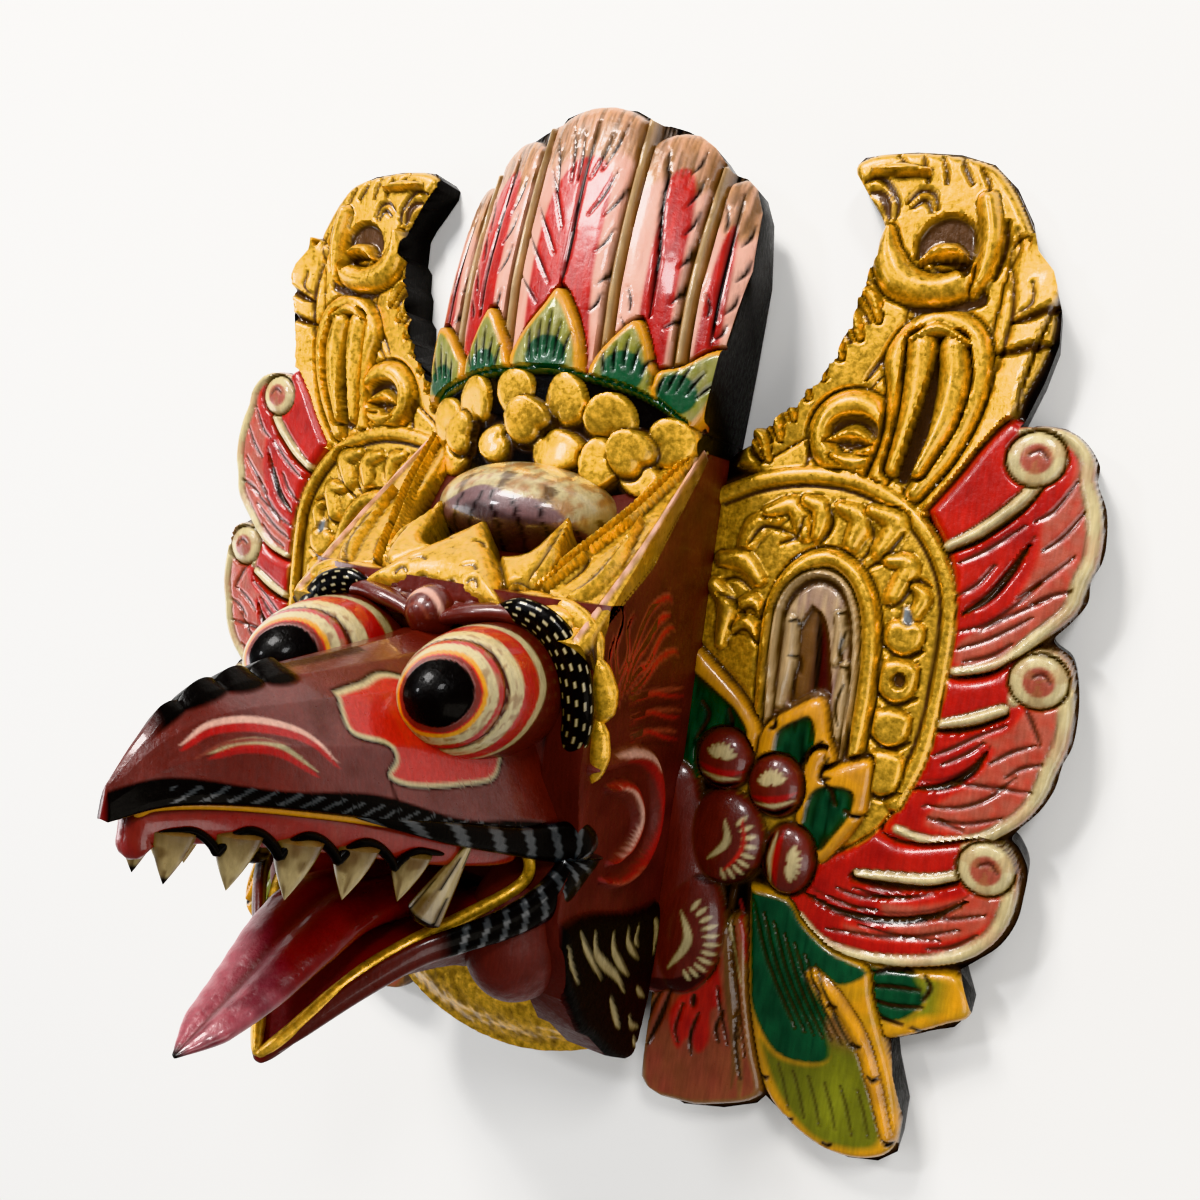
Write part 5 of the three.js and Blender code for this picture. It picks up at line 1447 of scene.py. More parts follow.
def brow_pieces():
    """Maroon lids over both eyes, and at each temple a black band with white dashes inside gilt leaves."""
    p = paints()
    half = [(10, -17, 124), (20, -14.5, 124), (31, -13.5, 121.5), (43, -17.5, 117), (51, -26, 113)]
    line = [(-x, y, z) for x, y, z in half[::-1]] + [(0, -20, 125)] + half
    made = [tube("brow", line, [1, 3, 3.6, 3.4, 3, 2.4, 3, 3.4, 3.6, 3, 1], p["maroon"] * 0.95, around=32,
                 steps=160, flat=1.5)]

    def dashed(u, v):
        row = np.floor(u * 12)
        dash = (np.sin(v * 88 + row * 2.2 + 3 * u * 12) > 0.35) * (np.abs(u * 12 - row - 0.5) < 0.2)
        return blend_paint(np.zeros((len(u), 3)) + p["black"], p["cream"] * 0.8,
                           dash * (v > 0.1) * (v < 0.95))

    for side in (-1, 1):
        word = "right" if side > 0 else "left"

        def at(points):
            return [(side * x, y, z) for x, y, z in points]

        made.append(tube(f"brow_band_{word}", at([(24, -13.5, 124), (35, -11.5, 124), (46, -15, 123),
                                                  (54, -24, 121.5), (58, -36, 120),
                                                 (57.4, -50, 117), (51, -62, 114)]),
                                                 [0.8, 3.0, 3.6, 3.8, 3.8, 3.6, 1.5], dashed,
                         around=48, steps=200, flat=1.5, axis=(0, 0, 1)))
        for name, points, radius in (
                ("upper", [(40, -7, 118), (50, -9, 118), (58, -16, 117), (62.6, -27, 115)],
                 [0.4, 2.2, 3.2, 3.2, 0.6]),
                ("middle", [(58, -20, 116), (63, -29, 115), (64.5, -38, 113), (62.5, -46, 112)],
                 [0.4, 3.0, 3.8, 3.2, 0.6]),
                ("lower", [(62, -41, 113), (64, -50, 112), (63, -60, 110), (58, -68, 108)],
                 [0.4, 2.6, 3.2, 2.4, 0.5])):
            made.append(tube(f"temple_leaf_{name}_{word}", at(points), radius, p["gold"], gold=1.0,
                             around=24, steps=60, flat=1.35,
                             axis=(0, 0, 1)))
    return made


def forehead_piece():
    """The round bump between the brows, with pink and cream arches."""
    p = paints()
    centre, radii = (0, -17.0, 119.0), (10.0, 10.0, 14.0)

    def place(u, v, h):
        turn, tilt = 2 * math.pi * u, math.pi * v
        return (centre[0] + radii[0] * np.sin(tilt) * np.cos(turn),
                centre[1] + radii[1] * np.sin(tilt) * np.sin(turn),
                centre[2] - radii[2] * np.cos(tilt))

    def colour(u, v):
        x, y, _ = place(u, v, 0)
        q = np.hypot(x, (y + 20) / 1.25)
        paint = np.zeros((len(u), 3)) + p["maroon"]
        for reach, pot, tone, half in ((4.6, "pink", 0.5, 0.5), (8.2, "blush", 0.9, 0.55)):
            paint = blend_paint(paint, p[pot] * tone, np.clip(1.5 - np.abs(q - reach) / half, 0,
                                                              1) * (y > -19))
        return paint

    return turned("forehead_bump", 72, 48, place, colour=colour)


def beak_piece():
    """The upper beak with its painted strokes, rim and painted palate."""
    p = paints()
    around, rows = 330, 200
    r = Relief((0, around), (0, rows), 1.0, colour=p["maroon"])
    length = BEAK_REACH - BEAK_ROOT
    profile = np.array([(0, 0), (0.24, 0.05), (0.5, 0.2), (0.8, 0.5), (1, 0.88), (1.0, 0.97), (0.93, 1.0),
                        (0.8, 0.97), (0.0, 0.9)])
    reach = np.concatenate([[0], np.cumsum(np.hypot(*np.diff(profile, axis=0).T))])
    reach /= reach[-1]

    def section(share, turn):
        """turn is 0 on the ridge and 1 in the middle of the palate; its sign is the side."""
        ridge, rim, half = (smooth_beak(share, k) for k in (1, 2, 3))
        w = np.interp(np.abs(turn), reach, profile[:, 0])
        h = np.interp(np.abs(turn), reach, profile[:, 1])
        return np.sign(turn) * w * np.clip(half, 0.3, None), ridge - h * (ridge - rim)

    def place(u, v, h):
        share = np.clip(v, 0, 1)
        turn = 2 * u - 1
        turn = np.where(np.abs(turn) < 1e-6, 1e-6, turn)
        x, y = section(share, turn)
        bulge = h * 0.02
        x = x * (1 + bulge)
        y = y + h
        return x, y, BEAK_ROOT + share * length

    share = r.b / rows
    turn = 2 * r.a / around - 1
    x, y = section(share, np.where(np.abs(turn) < 1e-6, 1e-6, turn))
    z = BEAK_ROOT + share * length
    rim = smooth_beak(share, 2)
    above = y - rim
    under = np.abs(turn) > 0.62
    r.colour *= (0.85 + 0.35 * value_noise(z, y, 5, 3))[..., None]

    def paint(mask, pot, tone=1.0, strength=1.0):
        amount = np.clip(mask, 0, 1)[..., None] * strength
        r.colour += (p[pot] * tone - r.colour) * amount

    # Black rim with grey strokes.
    rim_band = np.clip((6.8 + 1.2 * np.sin(z / 9) - above) / 0.8, 0, 1) * ~under * (z > 112)
    paint(rim_band, "black", 1.0)
    hatch = (np.sin(z * 1.1 + above * 1.6) > 0.62) * (above > 1.2) * (above < 5.2) * (z > 122) * (z < 235)
    paint(rim_band * hatch, "grey", 0.4, 0.4)
    paint(under * 1.0, "red", 0.5)
    paint((under & (np.abs(turn) < 0.70)) * 1.0, "yellow", 0.9)

    def curve(points, half, pot, tone=1.0):
        """A tapering brush stroke through (z, y) places on both flanks."""
        line = smooth_line(points, 60)
        t_best = np.zeros(z.shape)
        best = np.full(z.shape, np.inf)
        for k in range(59):
            a, way = line[k], line[k + 1] - line[k]
            s = np.clip(((z - a[0]) * way[0] + (y - a[1]) * way[1]) / (way @ way), 0, 1)
            far = np.hypot(z - a[0] - s * way[0], y - a[1] - s * way[1])
            t_best = np.where(far < best, (k + s) / 59, t_best)
            best = np.minimum(best, far)
        wide = half * np.sin(np.pi * np.clip(t_best, 0.01, 0.99)) ** 0.6
        paint(np.clip((wide - best) / 0.5 + 0.5, 0, 1) * ~under, pot, tone)

    curve([(231.6, -47.6), (224, -43), (213, -42.6), (201, -46.4), (193.6, -54.4)], 1.5, "red", 1.1)
    curve([(231.6, -46.4), (224, -41.8), (213, -41.2), (201, -45), (193.6, -53)], 0.8, "blush", 0.8)
    curve([(226, -49.6), (218, -47.4), (209, -49), (200, -56)], 1.5, "red", 1.0)
    curve([(226, -48.4), (218, -46), (209, -47.4), (200, -54.6)], 0.8, "cream", 0.65)
    curve([(229, -49.4), (222, -46.4), (214, -45.8), (206, -47.4)], 0.5, "pink", 0.5)
    curve([(178.6, -58), (178, -65), (179, -73)], 0.4, "black")
    # Red corner before the eye, edged with cream and black.
    corner = np.array([(186, -36), (187, -46), (177, -50), (175.4, -54), (179, -58), (172, -61.6),
                       (154, -63.6), (138, -62), (134, -45),
                       (160, -33), (175, -34.5)], float)
    edge = smooth_line(np.vstack([corner, corner[:1]]), 70)[:-1]
    inside = np.zeros(z.shape, bool)
    far = np.full(z.shape, 99.0)
    for a, b in zip(edge, np.roll(edge, -1, 0)):
        crosses = (a[1] > y) != (b[1] > y)
        inside ^= crosses & (z < a[0] + (y - a[1]) / (b[1] - a[1] + 1e-9) * (b[0] - a[0]))
        way = b - a
        s = np.clip(((z - a[0]) * way[0] + (y - a[1]) * way[1]) / (way @ way + 1e-9), 0, 1)
        far = np.minimum(far, np.hypot(z - a[0] - s * way[0], y - a[1] - s * way[1]))
    depth = np.where(inside, far, -far) * 1.0
    for start, pot, tone in ((-1.0, "black", 1.0), (-0.2, "cream", 0.85), (0.9, "scarlet", 0.85)):
        paint(np.clip((depth - start) / 0.8, 0, 1) * ~under, pot, tone)
    # Black serrated crest on the ridge.
    knobs = np.abs(np.sin((z - 193) / 5.8 * math.pi / 2)) ** 0.6
    on_ridge = np.clip((0.12 + 0.03 * knobs - np.abs(turn)) / 0.02, 0,
                       1) * ease((z - 191) / 5) * ease((238 - z) / 5)
    paint(on_ridge, "black")
    paint(np.clip((0.05 - np.abs(turn)) / 0.02, 0, 1) * (z > 160) * (z < 200), "black", 1.5, 0.7)
    r.height += 2.6 * on_ridge * knobs * np.clip(1 - np.abs(turn) / 0.16, 0, 1)
    piece = turned("beak", around, rows, place, relief=r)
    return piece


def jaw_sections(z):
    table = np.array([(96, -98, -150, 55), (123, -103, -139, 49), (136, -111, -136, 41),
                      (154, -117, -135, 31), (165, -125, -140, 22),
                      (174, -134, -146, 14), (182, -145, -151, 6), (186, -149, -152, 2)], float)
    out = []
    for k in (1, 2, 3):
        line = smooth_line(table[:, [0, k]], 100)
        out.append(np.interp(z, line[:, 0], line[:, 1]))
    return out


JAW_BACK = 96
JAW_LENGTH = 90


def jaw_piece():
    """The lower jaw: maroon with a row of white dashes, a scarlet line under its rim, and a red mouth floor.
    """
    p = paints()
    profile = np.array([(0, 1), (0.35, 0.97), (0.62, 0.86), (0.9, 0.45), (1.0, 0.1), (1.0, 0.0),
                        (0.92, -0.03), (0.78, 0.1), (0.4, 0.3),
                        (0.0, 0.34)])
    reach = np.concatenate([[0], np.cumsum(np.hypot(*np.diff(profile, axis=0).T))])
    reach /= reach[-1]

    def place(u, v, h):
        z = JAW_BACK + JAW_LENGTH * v
        lip, under, half = jaw_sections(z)
        turn = 2 * u - 1
        w = np.interp(np.abs(turn), reach, profile[:, 0])
        d = np.interp(np.abs(turn), reach, profile[:, 1])
        return np.sign(turn) * w * half, lip - d * (lip - under), z

    def tone(u, v):
        _, y, z = place(u, v, 0)
        lip = jaw_sections(z)[0]
        turn = np.abs(2 * u - 1)
        drop = lip - y
        paint = np.zeros((len(u), 3)) + p["maroon"] * 0.75
        paint = blend_paint(paint, p["red"] * 0.55, ease((turn - 0.66) / 0.03))
        dash = (np.abs(np.sin(z * 0.62)) > 0.55) * (np.abs(drop - 8.5) < 1.2) * (turn < 0.66)
        paint = blend_paint(paint, p["cream"] * 0.9, dash * 1.0)
        lines = np.clip(1 - np.abs(drop - 12.5) / 0.7, 0, 1) * (turn < 0.66)
        paint = blend_paint(paint, p["scarlet"] * 0.8, lines)
        return paint

    return turned("jaw", 110, 90, place, colour=tone)


def cheek_pieces():
    """Smooth maroon swellings that join beak, jaw and side wall at the corner of the mouth."""
    p = paints()
    made = []
    for name, (x, y, z), (wide, tall, deep) in (("cheek", (49, -64, 99), (12.5, 34, 17)),
                                                ("jowl", (43, -121, 106), (19, 26, 28))):
        for side in (-1, 1):
            def place(u, v, h):
                turn, tilt = 2 * math.pi * u, math.pi * v
                return (side * (x + wide * np.sin(tilt) * np.cos(turn)),
                        y + tall * np.sin(tilt) * np.sin(turn), z - deep * np.cos(tilt))

            def tone(u, v):
                _, y, z = place(u, v, 0)
                return p["maroon"] * (0.75 + 0.35 * value_noise(z, y, 5, 3))[:, None]

            made.append(turned(f"{name}_{'right' if side > 0 else 'left'}", 64, 48, place, colour=tone))
    return made


def tongue_piece():
    """The tongue, dusky pink with creases and a dark tip."""
    p = paints()
    line = smooth_line([(92, -116), (130, -113), (158, -110), (176, -116), (192, -125), (207, -131.5),
                        (218, -135.5)], 101)
    way = np.gradient(line, axis=0)
    way /= np.linalg.norm(way, axis=1)[:, None]

    def place(u, v, h):
        k = np.rint(v * 100).astype(int)
        wide = along([15, 18, 19, 17, 13, 8.5, 0.5], v)
        thick = along([9, 9, 8, 7, 6, 4.5, 0.5], v)
        turn = 2 * math.pi * u
        up = np.sin(turn)
        groove = 1 - 0.35 * np.exp(-(np.cos(turn) / 0.28) ** 2) * (up > 0)
        ripple = 0.12 * np.sin(v * 95) * (up > 0) * np.abs(np.cos(turn))
        lift = thick * up * groove * np.where(up > 0, 0.8, 1) + ripple
        return wide * np.cos(turn), line[k, 1] + way[k, 0] * lift, line[k, 0] - way[k, 1] * lift

    def tone(u, v):
        turn = 2 * math.pi * u
        across = np.cos(turn)
        streak = value_noise(v * 30, across * 4, 1.2, 6)
        paint = blend_paint(np.zeros((len(u), 3)) + p["tongue"], p["tongue"] * 0.5,
                            0.7 * ease((streak - 0.4) / 0.3) * np.clip(across + 0.6, 0, 1))
        # Painted shade: the back of the tongue, deep in the mouth, is a dark red.
        paint = blend_paint(paint, p["red"] * 0.45, ease((0.62 - v + 0.1 * across) / 0.12))
        paint = blend_paint(paint, p["maroon"] * 0.6,
                            np.exp(-((across - 0.08 * np.sin(v * 9)) / 0.13) ** 2) * (np.sin(turn) > 0) * 0.7)
        return blend_paint(paint, p["black"] * 2, ease((v - 0.93) / 0.06))

    return turned("tongue", 96, 100, place, colour=tone)


def tooth(name, base, tip, radius, p, bend=0.0, dark_tip=False, lined=False):
    base, tip = np.array(base, float), np.array(tip, float)
    way = tip - base
    length = np.linalg.norm(way)
    way /= length
    side = np.cross(way, (0, 0, 1.0))
    side /= np.linalg.norm(side)
    over = np.cross(side, way)

    def place(u, v, h):
        turn = 2 * math.pi * u
        r = (radius * (1 - v ** (1.1 if lined else 1.5)) * np.clip(v * 12, 0, 1) ** 0.5
             * (1 - 0.10 * np.abs(np.sin(2 * turn))))
        spot = base + way * (v * length)[:, None] + side * (r * np.cos(turn))[:, None]
        spot += over * (r * np.sin(turn) + bend * v ** 2)[:, None]
        return spot.T

    def tone(u, v):
        turn = 2 * math.pi * u
        grain = value_noise(turn * 2.2, v * 5, 1.0, radius)
        ivory = np.zeros((len(u), 3)) + p["ivory"] * (0.85 if lined else 1.0)
        paint = blend_paint(ivory, p["tan"] * 0.22, np.clip((0.75 if lined else 1.1) - v * 2.0, 0,
                                                            1) * 0.85)
        paint = blend_paint(paint, p["tan"] * 0.3, 0.7 * ease((grain - 0.4) / 0.4))
        if lined:
            stripe = np.abs((u * 7 + 0.35 * v) % 1 - 0.5) < 0.06
            paint = blend_paint(paint, p["black"] * 2, np.clip(stripe + 1.0 * (v < 0.09), 0, 1) * (v < 0.9))
        return blend_paint(paint, p["black"] * 2, ease((v - 0.8) / 0.1) * dark_tip)

    return turned(name, 32, 36, place, colour=tone)


TEETH = (0.885, 0.79, 0.69, 0.58, 0.46)


def mouth_pieces():
    """Gums, teeth, tusks and the ropes of the lips."""
    p = paints()
    made = []
    # Yellow line and red inner lip under the rim.
    shares = np.linspace(0.2, 0.93, 14)
    right = [(smooth_beak(s, 3) - 3.2, smooth_beak(s, 2) - 0.2,
              BEAK_ROOT + s * (BEAK_REACH - BEAK_ROOT)) for s in shares]
    loop = right + [(0, -65, BEAK_REACH - 9)] + [(-x, y, z) for x, y, z in right[::-1]]
    made.append(tube("rim_line", loop, 1.3, p["yellow"] * 0.85, around=12, steps=180))
    lip_line = [(x - 1.4 * np.sign(x), y - 5.5, z - 0.5) for x, y, z in loop]

    def lip_tone(u, v):
        up = np.sin(2 * math.pi * u)
        paint = blend_paint(np.zeros((len(u), 3)) + p["red"] * 0.7, p["pink"] * 0.55,
                            0.6 * value_noise(v * 300, u * 8, 6, 3))
        return blend_paint(paint, p["maroon"] * 0.5, ease((up - 0.5) / 0.4))

    made.append(tube("inner_lip", lip_line, [3.0, 5.4, 5.4, 5.0, 5.4, 5.4, 3.0], lip_tone, around=32,
                     steps=220, flat=0.5))
    for k, share in enumerate(TEETH):
        side = max(3.6, float(smooth_beak(share, 3)) - 5.4)
        top = float(smooth_beak(share, 2)) - 6
        z = BEAK_ROOT + share * (BEAK_REACH - BEAK_ROOT)
        long = (15, 17, 19, 18, 17)[k]
        for sign in (1, -1):
            made.append(tooth(f"tooth_{k}_{'right' if sign > 0 else 'left'}", (sign * side, top, z),
                              (sign * side * 0.94, top - long, z + 2), (6.4, 7.4, 8, 7.8, 7)[k], p,
                              dark_tip=k == 0))
    for sign in (1, -1):
        # The black line along the gum rises over every tooth.
        share = np.linspace(0.41, 0.925, 90)
        over = np.abs(np.cos(math.pi * np.interp(share, TEETH[::-1], np.arange(len(TEETH)))))
        gum = np.column_stack([sign * (smooth_beak(share, 3) - 1.6),
                               smooth_beak(share, 2) - 12.5 + 6 * over ** 0.8,
                               BEAK_ROOT + share * (BEAK_REACH - BEAK_ROOT)])
        made.append(tube(f"gum_{'right' if sign > 0 else 'left'}", gum, [0.8, 1.5, 1.5, 1.5, 0.8],
                         p["black"], around=12, steps=240))
        made.append(tooth(f"tusk_{'right' if sign > 0 else 'left'}", (sign * 34, -106.5, 159.5),
                          (sign * 45, -76.6, 149), 6.6, p, bend=0.5, lined=True))
        rope = [(smooth_beak(s, 3) - 0.4, smooth_beak(s, 2) + 0.5,
                 BEAK_ROOT + s * (BEAK_REACH - BEAK_ROOT)) for s in (0.62, 0.4, 0.2)]
        rope += [(60, -87, 111), (60, -95, 111), (57, -104, 122), (50, -110, 134), (42, -113.5, 146),
                 (33, -118, 156), (22, -127.5, 166),
                 (10, -140, 177), (1, -150.5, 185)]
        rope = [(sign * x, y, z) for x, y, z in rope]

        def hatch(u, v):
            stripes = np.sin(v * 150 + np.sin(2 * math.pi * u) * 1.6) > 0.55
            paint = blend_paint(np.zeros((len(u), 3)) + p["black"], p["grey"] * 0.4,
                                0.45 * stripes * (v < 0.66))
            return blend_paint(paint, p["maroon"] * 0.75, ease((v - 0.66) / 0.05))

        made.append(tube(f"lip_{'right' if sign > 0 else 'left'}", rope,
                         [0.6, 3.4, 5, 7.5, 8.5, 7.5, 6, 5, 4.4, 4, 3.6, 3, 1.5], hatch, around=36,
                         steps=200, flat=0.55))
        inner = [(46, -83, 133), (50, -88, 127), (50, -96, 123), (46.4, -102.5, 125), (38, -109.5, 137),
                 (29, -116, 152), (20, -124, 162.5),
                 (14, -131.5, 171.5), (6, -142.5, 180), (0, -149.5, 186)]
        inner = [(sign * x, y, z) for x, y, z in inner]
        made.append(tube(f"lip_line_{'right' if sign > 0 else 'left'}", inner,
                         [0.8, 1.8, 2, 2.1, 2.3, 2.5, 2.5, 2.4, 2.2, 1.8],
                         p["gold"], gold=0.9, around=16, steps=120))
    return made


SIDE_EDGE = [(0, 51.5), (40, 51.5), (82, 7.5), (113, -11), (119, -24), (119, -62), (113, -88), (122, -101),
             (121, -118), (112, -140),
             (98, -157), (88, -163), (70, -178), (50, -188), (40, -190), (35, -185), (30, -168), (20, -150),
             (0, -150)]


def side_piece():
    """A side wall: plum with flames in thin strokes, the curl of the ear and the black beard lock."""
    p = paints()
    step = 1.6 * bpy.context.scene.mask_sizes.head_step / MM
    r = Relief((0, 124), (-192, 53), step, height=0, colour=p["plum"])
    r.height += 0.8 * value_noise(r.a, r.b, 22, 3)
    region(r, SIDE_EDGE, rise=1.2, base=-1, bevel=3, smooth=False, colour=lambda a, b, d: blend_paint(
        p["plum"], p["maroon"] * 1.15, 0.6 * value_noise(a * 0.5, b, 7, 5)))
    # Flames behind the eye: wavy strokes that fan out from the temple.
    flames = [
        [(96, -41), (92, -30), (86, -18), (78, -8), (66, -4), (58, -5)],
        [(92, -38), (86, -26), (78, -20), (68, -12), (58, -11)],
        [(90, -36), (82, -30), (74, -28), (64, -18), (52, -15)],
        [(88, -38), (76, -34), (66, -28), (54, -25), (44, -26)],
        [(99, -42), (98, -32), (93, -24), (96, -14), (92, -9)],
        [(102, -42), (104, -32), (108, -24), (106, -16)],
        [(104, -42), (108, -34), (114, -26), (117, -18)], [(100, -42), (100, -30), (104, -20), (101, -12),
                                                           (103, -6)]]
    for k, points in enumerate(flames):
        r.stroke(points, (3.4, 4.6, 4.2, 3.4, 2.6, 2.6, 2.4, 2.2)[k], p["red"] * 1.1, cut=0.3, blunt=0.9)
        r.stroke([(a + 0.8, b + 1.4) for a, b in points], 1.2, p["pink"] * 0.8, blunt=0.9)
        r.stroke([(a - 1.0, b - 1.6) for a, b in points], 0.9, p["pink"] * 0.6, blunt=0.9)
    for k in range(9):
        y = -39 - 2.4 * k
        r.stroke([(88 - k, y), (66, y + 1.6 * math.sin(2 * k)), (48, y - 1 - 0.3 * k),
                  (33, y - 2 - 0.6 * k)], 1.5,
                 p[("pink", "red", "maroon")[k % 3]] * (0.75, 1.0, 0.5)[k % 3], cut=0.3, blunt=0.6)
    # Ear curl.
    r.blade([(112, -60), (98, -60), (78, -61), (62, -66), (52, -76), (48, -88), (50, -99), (60, -107),
             (76, -108), (92, -104)],
            [2, 3.2, 3.8, 4.2, 4.4, 4.4, 4.4, 4, 3.4, 1], roof(1.2, 4.5), p["maroon"] * 1.1, 0)
    r.stroke([(98, -58), (80, -59.5), (64, -64), (56, -71)], 3.2, p["blush"] * 0.75, blunt=0.6)
    r.stroke([(90, -61), (72, -64), (57, -72), (48, -86), (50, -98), (60, -105.5), (78, -107.5),
              (94, -103)], 3.4, p["red"] * 0.85, blunt=0.5)
    r.stroke([(58, -106), (74, -108.6), (90, -105)], 1.5, p["pink"] * 0.8, blunt=0.6)
    r.blade([(98, -70), (84, -72), (72, -78), (66, -88), (72, -96), (88, -99)], [1, 3.4, 4, 4, 3.4, 1],
            roof(1.4, 4), p["maroon"], 0)
    r.stroke([(98, -69), (84, -71), (70, -78), (64, -88), (72, -96), (90, -99)], 3.6, p["red"] * 0.9,
             blunt=0.6)
    r.stroke([(92, -70), (80, -73.5), (71, -80), (67, -88), (73, -95), (84, -98)], 1.9, p["blush"] * 0.8,
             blunt=0.7)
    # Beard lock.
    lock = [(121, -111), (104, -112.5), (84, -118), (64, -124), (46, -127), (32, -130), (30, -150),
            (33, -172), (40, -190), (52, -189),
            (70, -179), (88, -164), (97, -158), (104, -150), (113, -138), (121, -124)]
    region(r, lock, rise=3.4, base=0.4, bevel=5, colour=p["black"], gold=0)
    for line, width in (
        ([(98, -119), (95, -128), (86, -136), (72, -146), (62, -156)], 3.4),
        ([(81, -125), (79, -133), (70, -142), (60, -150)], 3.2),
        ([(67, -128), (66, -134), (60, -140), (52, -146)], 2.8),
        ([(56, -130), (58, -136), (54, -140)], 2.2),
        ([(40, -133), (36, -140), (36, -150)], 4.2), ([(76, -152), (72, -158), (66, -166), (62, -170)],
                                                      3.0),
        ([(110, -116), (104, -124), (96, -132), (86, -142)], 2.2),
        ([(118, -118), (114, -126), (106, -136)], 1.6),
        ([(50, -158), (46, -162), (40, -166)], 2.4), ([(54, -168), (50, -174), (42, -178)], 2.4),
        ([(46, -180), (44, -184), (40, -187)], 1.8)):
        r.stroke(line, width, p["cream"] * 0.72, cut=0.7, blunt=0.8)
    r.handwork(22)
    piece = carved("side_right", r, on_side, lambda a, b: (HEAD_HALF - 14 + 0 * a, b, a), p["maroon"] * 0.6)
    edge = [(a + 0.3 if a == 0 else a, b) for a, b in SIDE_EDGE]
    trim(piece, prism(edge, on_side, -30, 30, p["maroon"] * 0.6))
    return piece


def collar_piece():
    """The gilt crescent collar under the jaw."""
    p = paints()
    r = Relief((-54, 54), (-207, -138), 0.9, height=48, colour=p["gold"], gold=1)
    s = r.a / 52
    bottom = -205 + 13.5 * s ** 2
    r.height = 50 - 8 * ease((bottom + 24 - r.b) / 24) ** 2 - 3 * np.abs(s) ** 3
    r.height += 0.7 * (value_noise(r.a, r.b, 2.2, 4) - 0.5)
    r.colour = blend_paint(r.colour, p["old_gold"] * 0.8,
                           0.55 * ease((value_noise(r.a, r.b, 3.0, 8) - 0.45) / 0.35))
    piece = carved("collar", r, on_face, lambda a, b: (a, b, 0.2 + 0 * a), p["black"])
    edge = [(52 * s, -206 + 14 * s * s) for s in np.linspace(-1, 1, 25)] + [(52, -142), (-52, -142)]
    trim(piece, prism(edge, on_face, -5, 80))
    return piece


SCOOP_HALF = (43, 78, 58)
SCOOP_DOWN = -52


def core_piece():
    """The plain block behind the carving, scooped out at the back."""
    p = paints()
    block = [(0.4, 51), (39, 51), (80, 7.5), (108, -14), (112, -26), (112, -62), (106, -88), (110, -108),
             (100, -130), (84, -156),
             (60, -160), (34, -150), (0.4, -150)]
    cutter = prism(block, lambda a, b, h: (h + 0 * a, b, a), -HEAD_HALF + 1.2, HEAD_HALF - 1.2)
    cutter.name = cutter.data.name = "head_core"
    write_paint(cutter.data, np.zeros((len(cutter.data.vertices), 3)) + p["maroon"] * 0.7,
                np.zeros(len(cutter.data.vertices)))
    deselect()
    bpy.ops.mesh.primitive_uv_sphere_add(segments=64, ring_count=40, radius=1)
    scoop = bpy.context.object
    places = get_places(scoop.data).astype(float) * SCOOP_HALF + (0, SCOOP_DOWN + BROW_LINE, 0)
    set_places(scoop.data, places * MM)
    face_out(scoop.data)
    write_paint(scoop.data, np.zeros((len(places), 3)) + p["tan"] * 0.35, np.zeros(len(places)))
    trim(cutter, scoop, "DIFFERENCE")
    return cutter


# Operators: one for each group of pieces, and one for the stage.

def build(piece, node="head", angle=50, gloss="varnished paint"):
    """Finishes a piece with glossy varnish, or with the worn satin of the side walls and edges."""
    kinds = {"varnished paint": {}, "worn satin paint": {"roughness": 0.55, "coat": 0.06}}
    material = bpy.data.materials.get(gloss) or varnished_paint(gloss, **kinds[gloss])
    return finished(piece, material, node, angle)


class MASK_OT_wings(bpy.types.Operator):
    """Carve and paint both wing panels"""
    bl_idname = "mask.wings"
    bl_label = "Wings"

    def execute(self, context):
        wing = wing_piece()
        other = mirrored(wing, "carved_wing_left")
        build(wing, "wing_right")
        build(other, "wing_left")
        return {"FINISHED"}


class MASK_OT_crown(bpy.types.Operator):
    """Carve and paint the crown, its band of blossoms, the dome and the diadem"""
    bl_idname = "mask.crown"
    bl_label = "Crown"

    def execute(self, context):
        for make in (crown_piece, band_piece, dome_piece, diadem_piece):
            build(make())
        return {"FINISHED"}


class MASK_OT_face(bpy.types.Operator):
    """Carve and paint the face, the eyes and the side walls"""
    bl_idname = "mask.face"
    bl_label = "Face"

    def execute(self, context):
        build(face_piece())
        build(forehead_piece())
        for side in (-1, 1):
            build(eye_piece(side))
        for piece in brow_pieces():
            build(piece)
        wall = side_piece()
        build(mirrored(wall, "side_left"), gloss="worn satin paint")
        build(wall, gloss="worn satin paint")
        build(core_piece(), angle=30, gloss="worn satin paint")
        build(collar_piece())
        for piece in cheek_pieces():
            build(piece, gloss="worn satin paint")
        return {"FINISHED"}


class MASK_OT_mouth(bpy.types.Operator):
    """Carve and paint the beak, the jaw, the tongue, the teeth and the lips"""
    bl_idname = "mask.mouth"
    bl_label = "Mouth"

    def execute(self, context):
        build(jaw_piece(), gloss="worn satin paint")
        for piece in [beak_piece(), tongue_piece()] + mouth_pieces():
            build(piece)
        return {"FINISHED"}


class MASK_OT_stage(bpy.types.Operator):
    """Lay out the pale floor, the soft lights and the camera"""
    bl_idname = "mask.stage"
    bl_label = "Stage"

    def execute(self, context):
        floor_and_light()
        camera()
        return {"FINISHED"}


class MASK_PT_panel(bpy.types.Panel):
    """Paints and fineness of the mask"""
    bl_label = "Garuda mask"
    bl_idname = "MASK_PT_panel"
    bl_space_type = "VIEW_3D"
    bl_region_type = "UI"
    bl_category = "Mask"

    def draw(self, context):
        layout = self.layout
        for name in MaskSizes.__annotations__:
            layout.prop(context.scene.mask_sizes, name)
        for name in MaskPaints.__annotations__:
            layout.prop(context.scene.mask_paints, name)
        for step in STEPS:
            layout.operator(step.bl_idname)


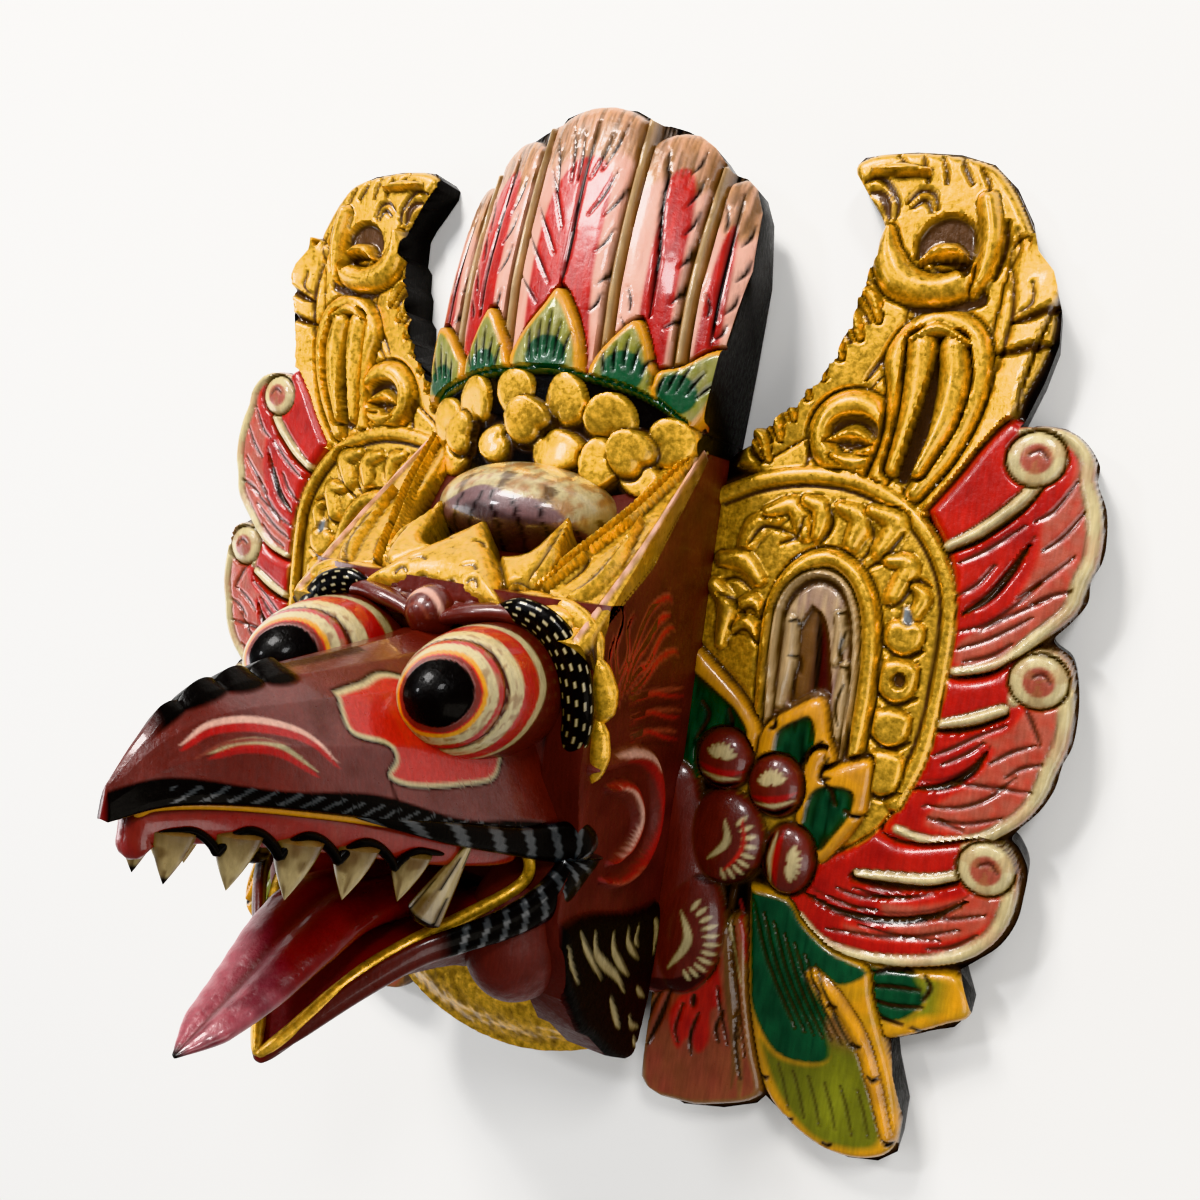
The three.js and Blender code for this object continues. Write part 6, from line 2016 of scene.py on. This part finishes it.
def aim(thing, place, target, roll=0.0):
    back = (place - target).normalized()
    right = Vector((0, 1, 0)).cross(back).normalized()
    up = back.cross(right)
    turned_right = right * math.cos(roll) + up * math.sin(roll)
    turned_up = up * math.cos(roll) - right * math.sin(roll)
    pose = Matrix((turned_right, turned_up, back)).transposed().to_4x4()
    pose.translation = place
    thing.matrix_world = pose


def floor_and_light():
    scene = bpy.context.scene
    deselect()
    bpy.ops.mesh.primitive_plane_add(size=6, location=(0, 0, -0.0004))
    floor = bpy.context.object
    floor.name = "floor"
    paper = bpy.data.materials.new("plain floor")
    paper.use_nodes = True
    shader = paper.node_tree.nodes["Principled BSDF"]
    shader.inputs["Base Color"].default_value = (*scene.mask_paints.floor, 1)
    shader.inputs["Roughness"].default_value = 0.8
    floor.data.materials.append(paper)
    lights = (  # name, place, power, width, height, warmth
        ("key", (-0.35, 0.9, 0.8), 18, 0.4, 0.3, (1.0, 0.98, 0.96)),
        ("window", (0.5, 0.85, 1.1), 7, 0.25, 0.25, (1.0, 1.0, 1.0)),
        ("glint", (-0.6, 0.42, 1.1), 4, 0.14, 0.14, (0.97, 0.98, 1.0)),
        ("fill", (1.3, -0.4, 0.9), 7, 1.0, 0.8, (1.0, 0.97, 0.93)),
        ("rim", (-1.4, -0.3, 0.6), 8, 0.8, 0.6, (0.95, 0.97, 1.0)))
    for name, place, power, wide, tall, tint in lights:
        light = bpy.data.objects.new(name, bpy.data.lights.new(name, "AREA"))
        light.data.shape = "RECTANGLE"
        light.data.energy = power
        light.data.size, light.data.size_y = wide, tall
        light.data.color = tint
        scene.collection.objects.link(light)
        aim(light, Vector(place), Vector((0, 0, 0.06)))
    world = bpy.data.worlds.new("soft studio")
    scene.world = world
    world.use_nodes = True
    world.node_tree.nodes["Background"].inputs["Color"].default_value = (1, 1, 1, 1)
    world.node_tree.nodes["Background"].inputs["Strength"].default_value = 0.32


# Where the camera stands, in degrees and millimetres, from the point that it looks at.
VIEW_AZIMUTH = 25.454
VIEW_ELEVATION = 4.707
VIEW_ROLL = 7.396
VIEW_DISTANCE = 398.64
VIEW_TARGET = (27.265, 6.04, 47.977)
VIEW_LENS = 30
VIEW_SENSOR = 36


def camera():
    scene = bpy.context.scene
    lens = bpy.data.cameras.new("camera")
    lens.lens, lens.sensor_width = VIEW_LENS, VIEW_SENSOR
    seen = bpy.data.objects.new("camera", lens)
    scene.collection.objects.link(seen)
    azimuth = math.radians(VIEW_AZIMUTH)
    elevation = math.radians(VIEW_ELEVATION)
    distance = VIEW_DISTANCE * MM
    target = Vector(VIEW_TARGET) * MM
    away = Vector((math.sin(azimuth) * math.cos(elevation), math.sin(elevation),
                   math.cos(azimuth) * math.cos(elevation)))
    aim(seen, target + away * distance, target, math.radians(VIEW_ROLL))
    scene.camera = seen
    scene.view_settings.view_transform = "Khronos PBR Neutral"


STEPS = (MASK_OT_wings, MASK_OT_crown, MASK_OT_face, MASK_OT_mouth, MASK_OT_stage)
CLASSES = (MaskPaints, MaskSizes, *STEPS, MASK_PT_panel)


def register():
    for kind in CLASSES:
        bpy.utils.register_class(kind)
    bpy.types.Scene.mask_paints = bpy.props.PointerProperty(type=MaskPaints)
    bpy.types.Scene.mask_sizes = bpy.props.PointerProperty(type=MaskSizes)


def unregister():
    del bpy.types.Scene.mask_sizes
    del bpy.types.Scene.mask_paints
    for kind in reversed(CLASSES):
        bpy.utils.unregister_class(kind)


def main():
    register()
    for step in STEPS:
        group, name = step.bl_idname.split(".")
        getattr(getattr(bpy.ops, group), name)()


if __name__ == "__main__":
    main()
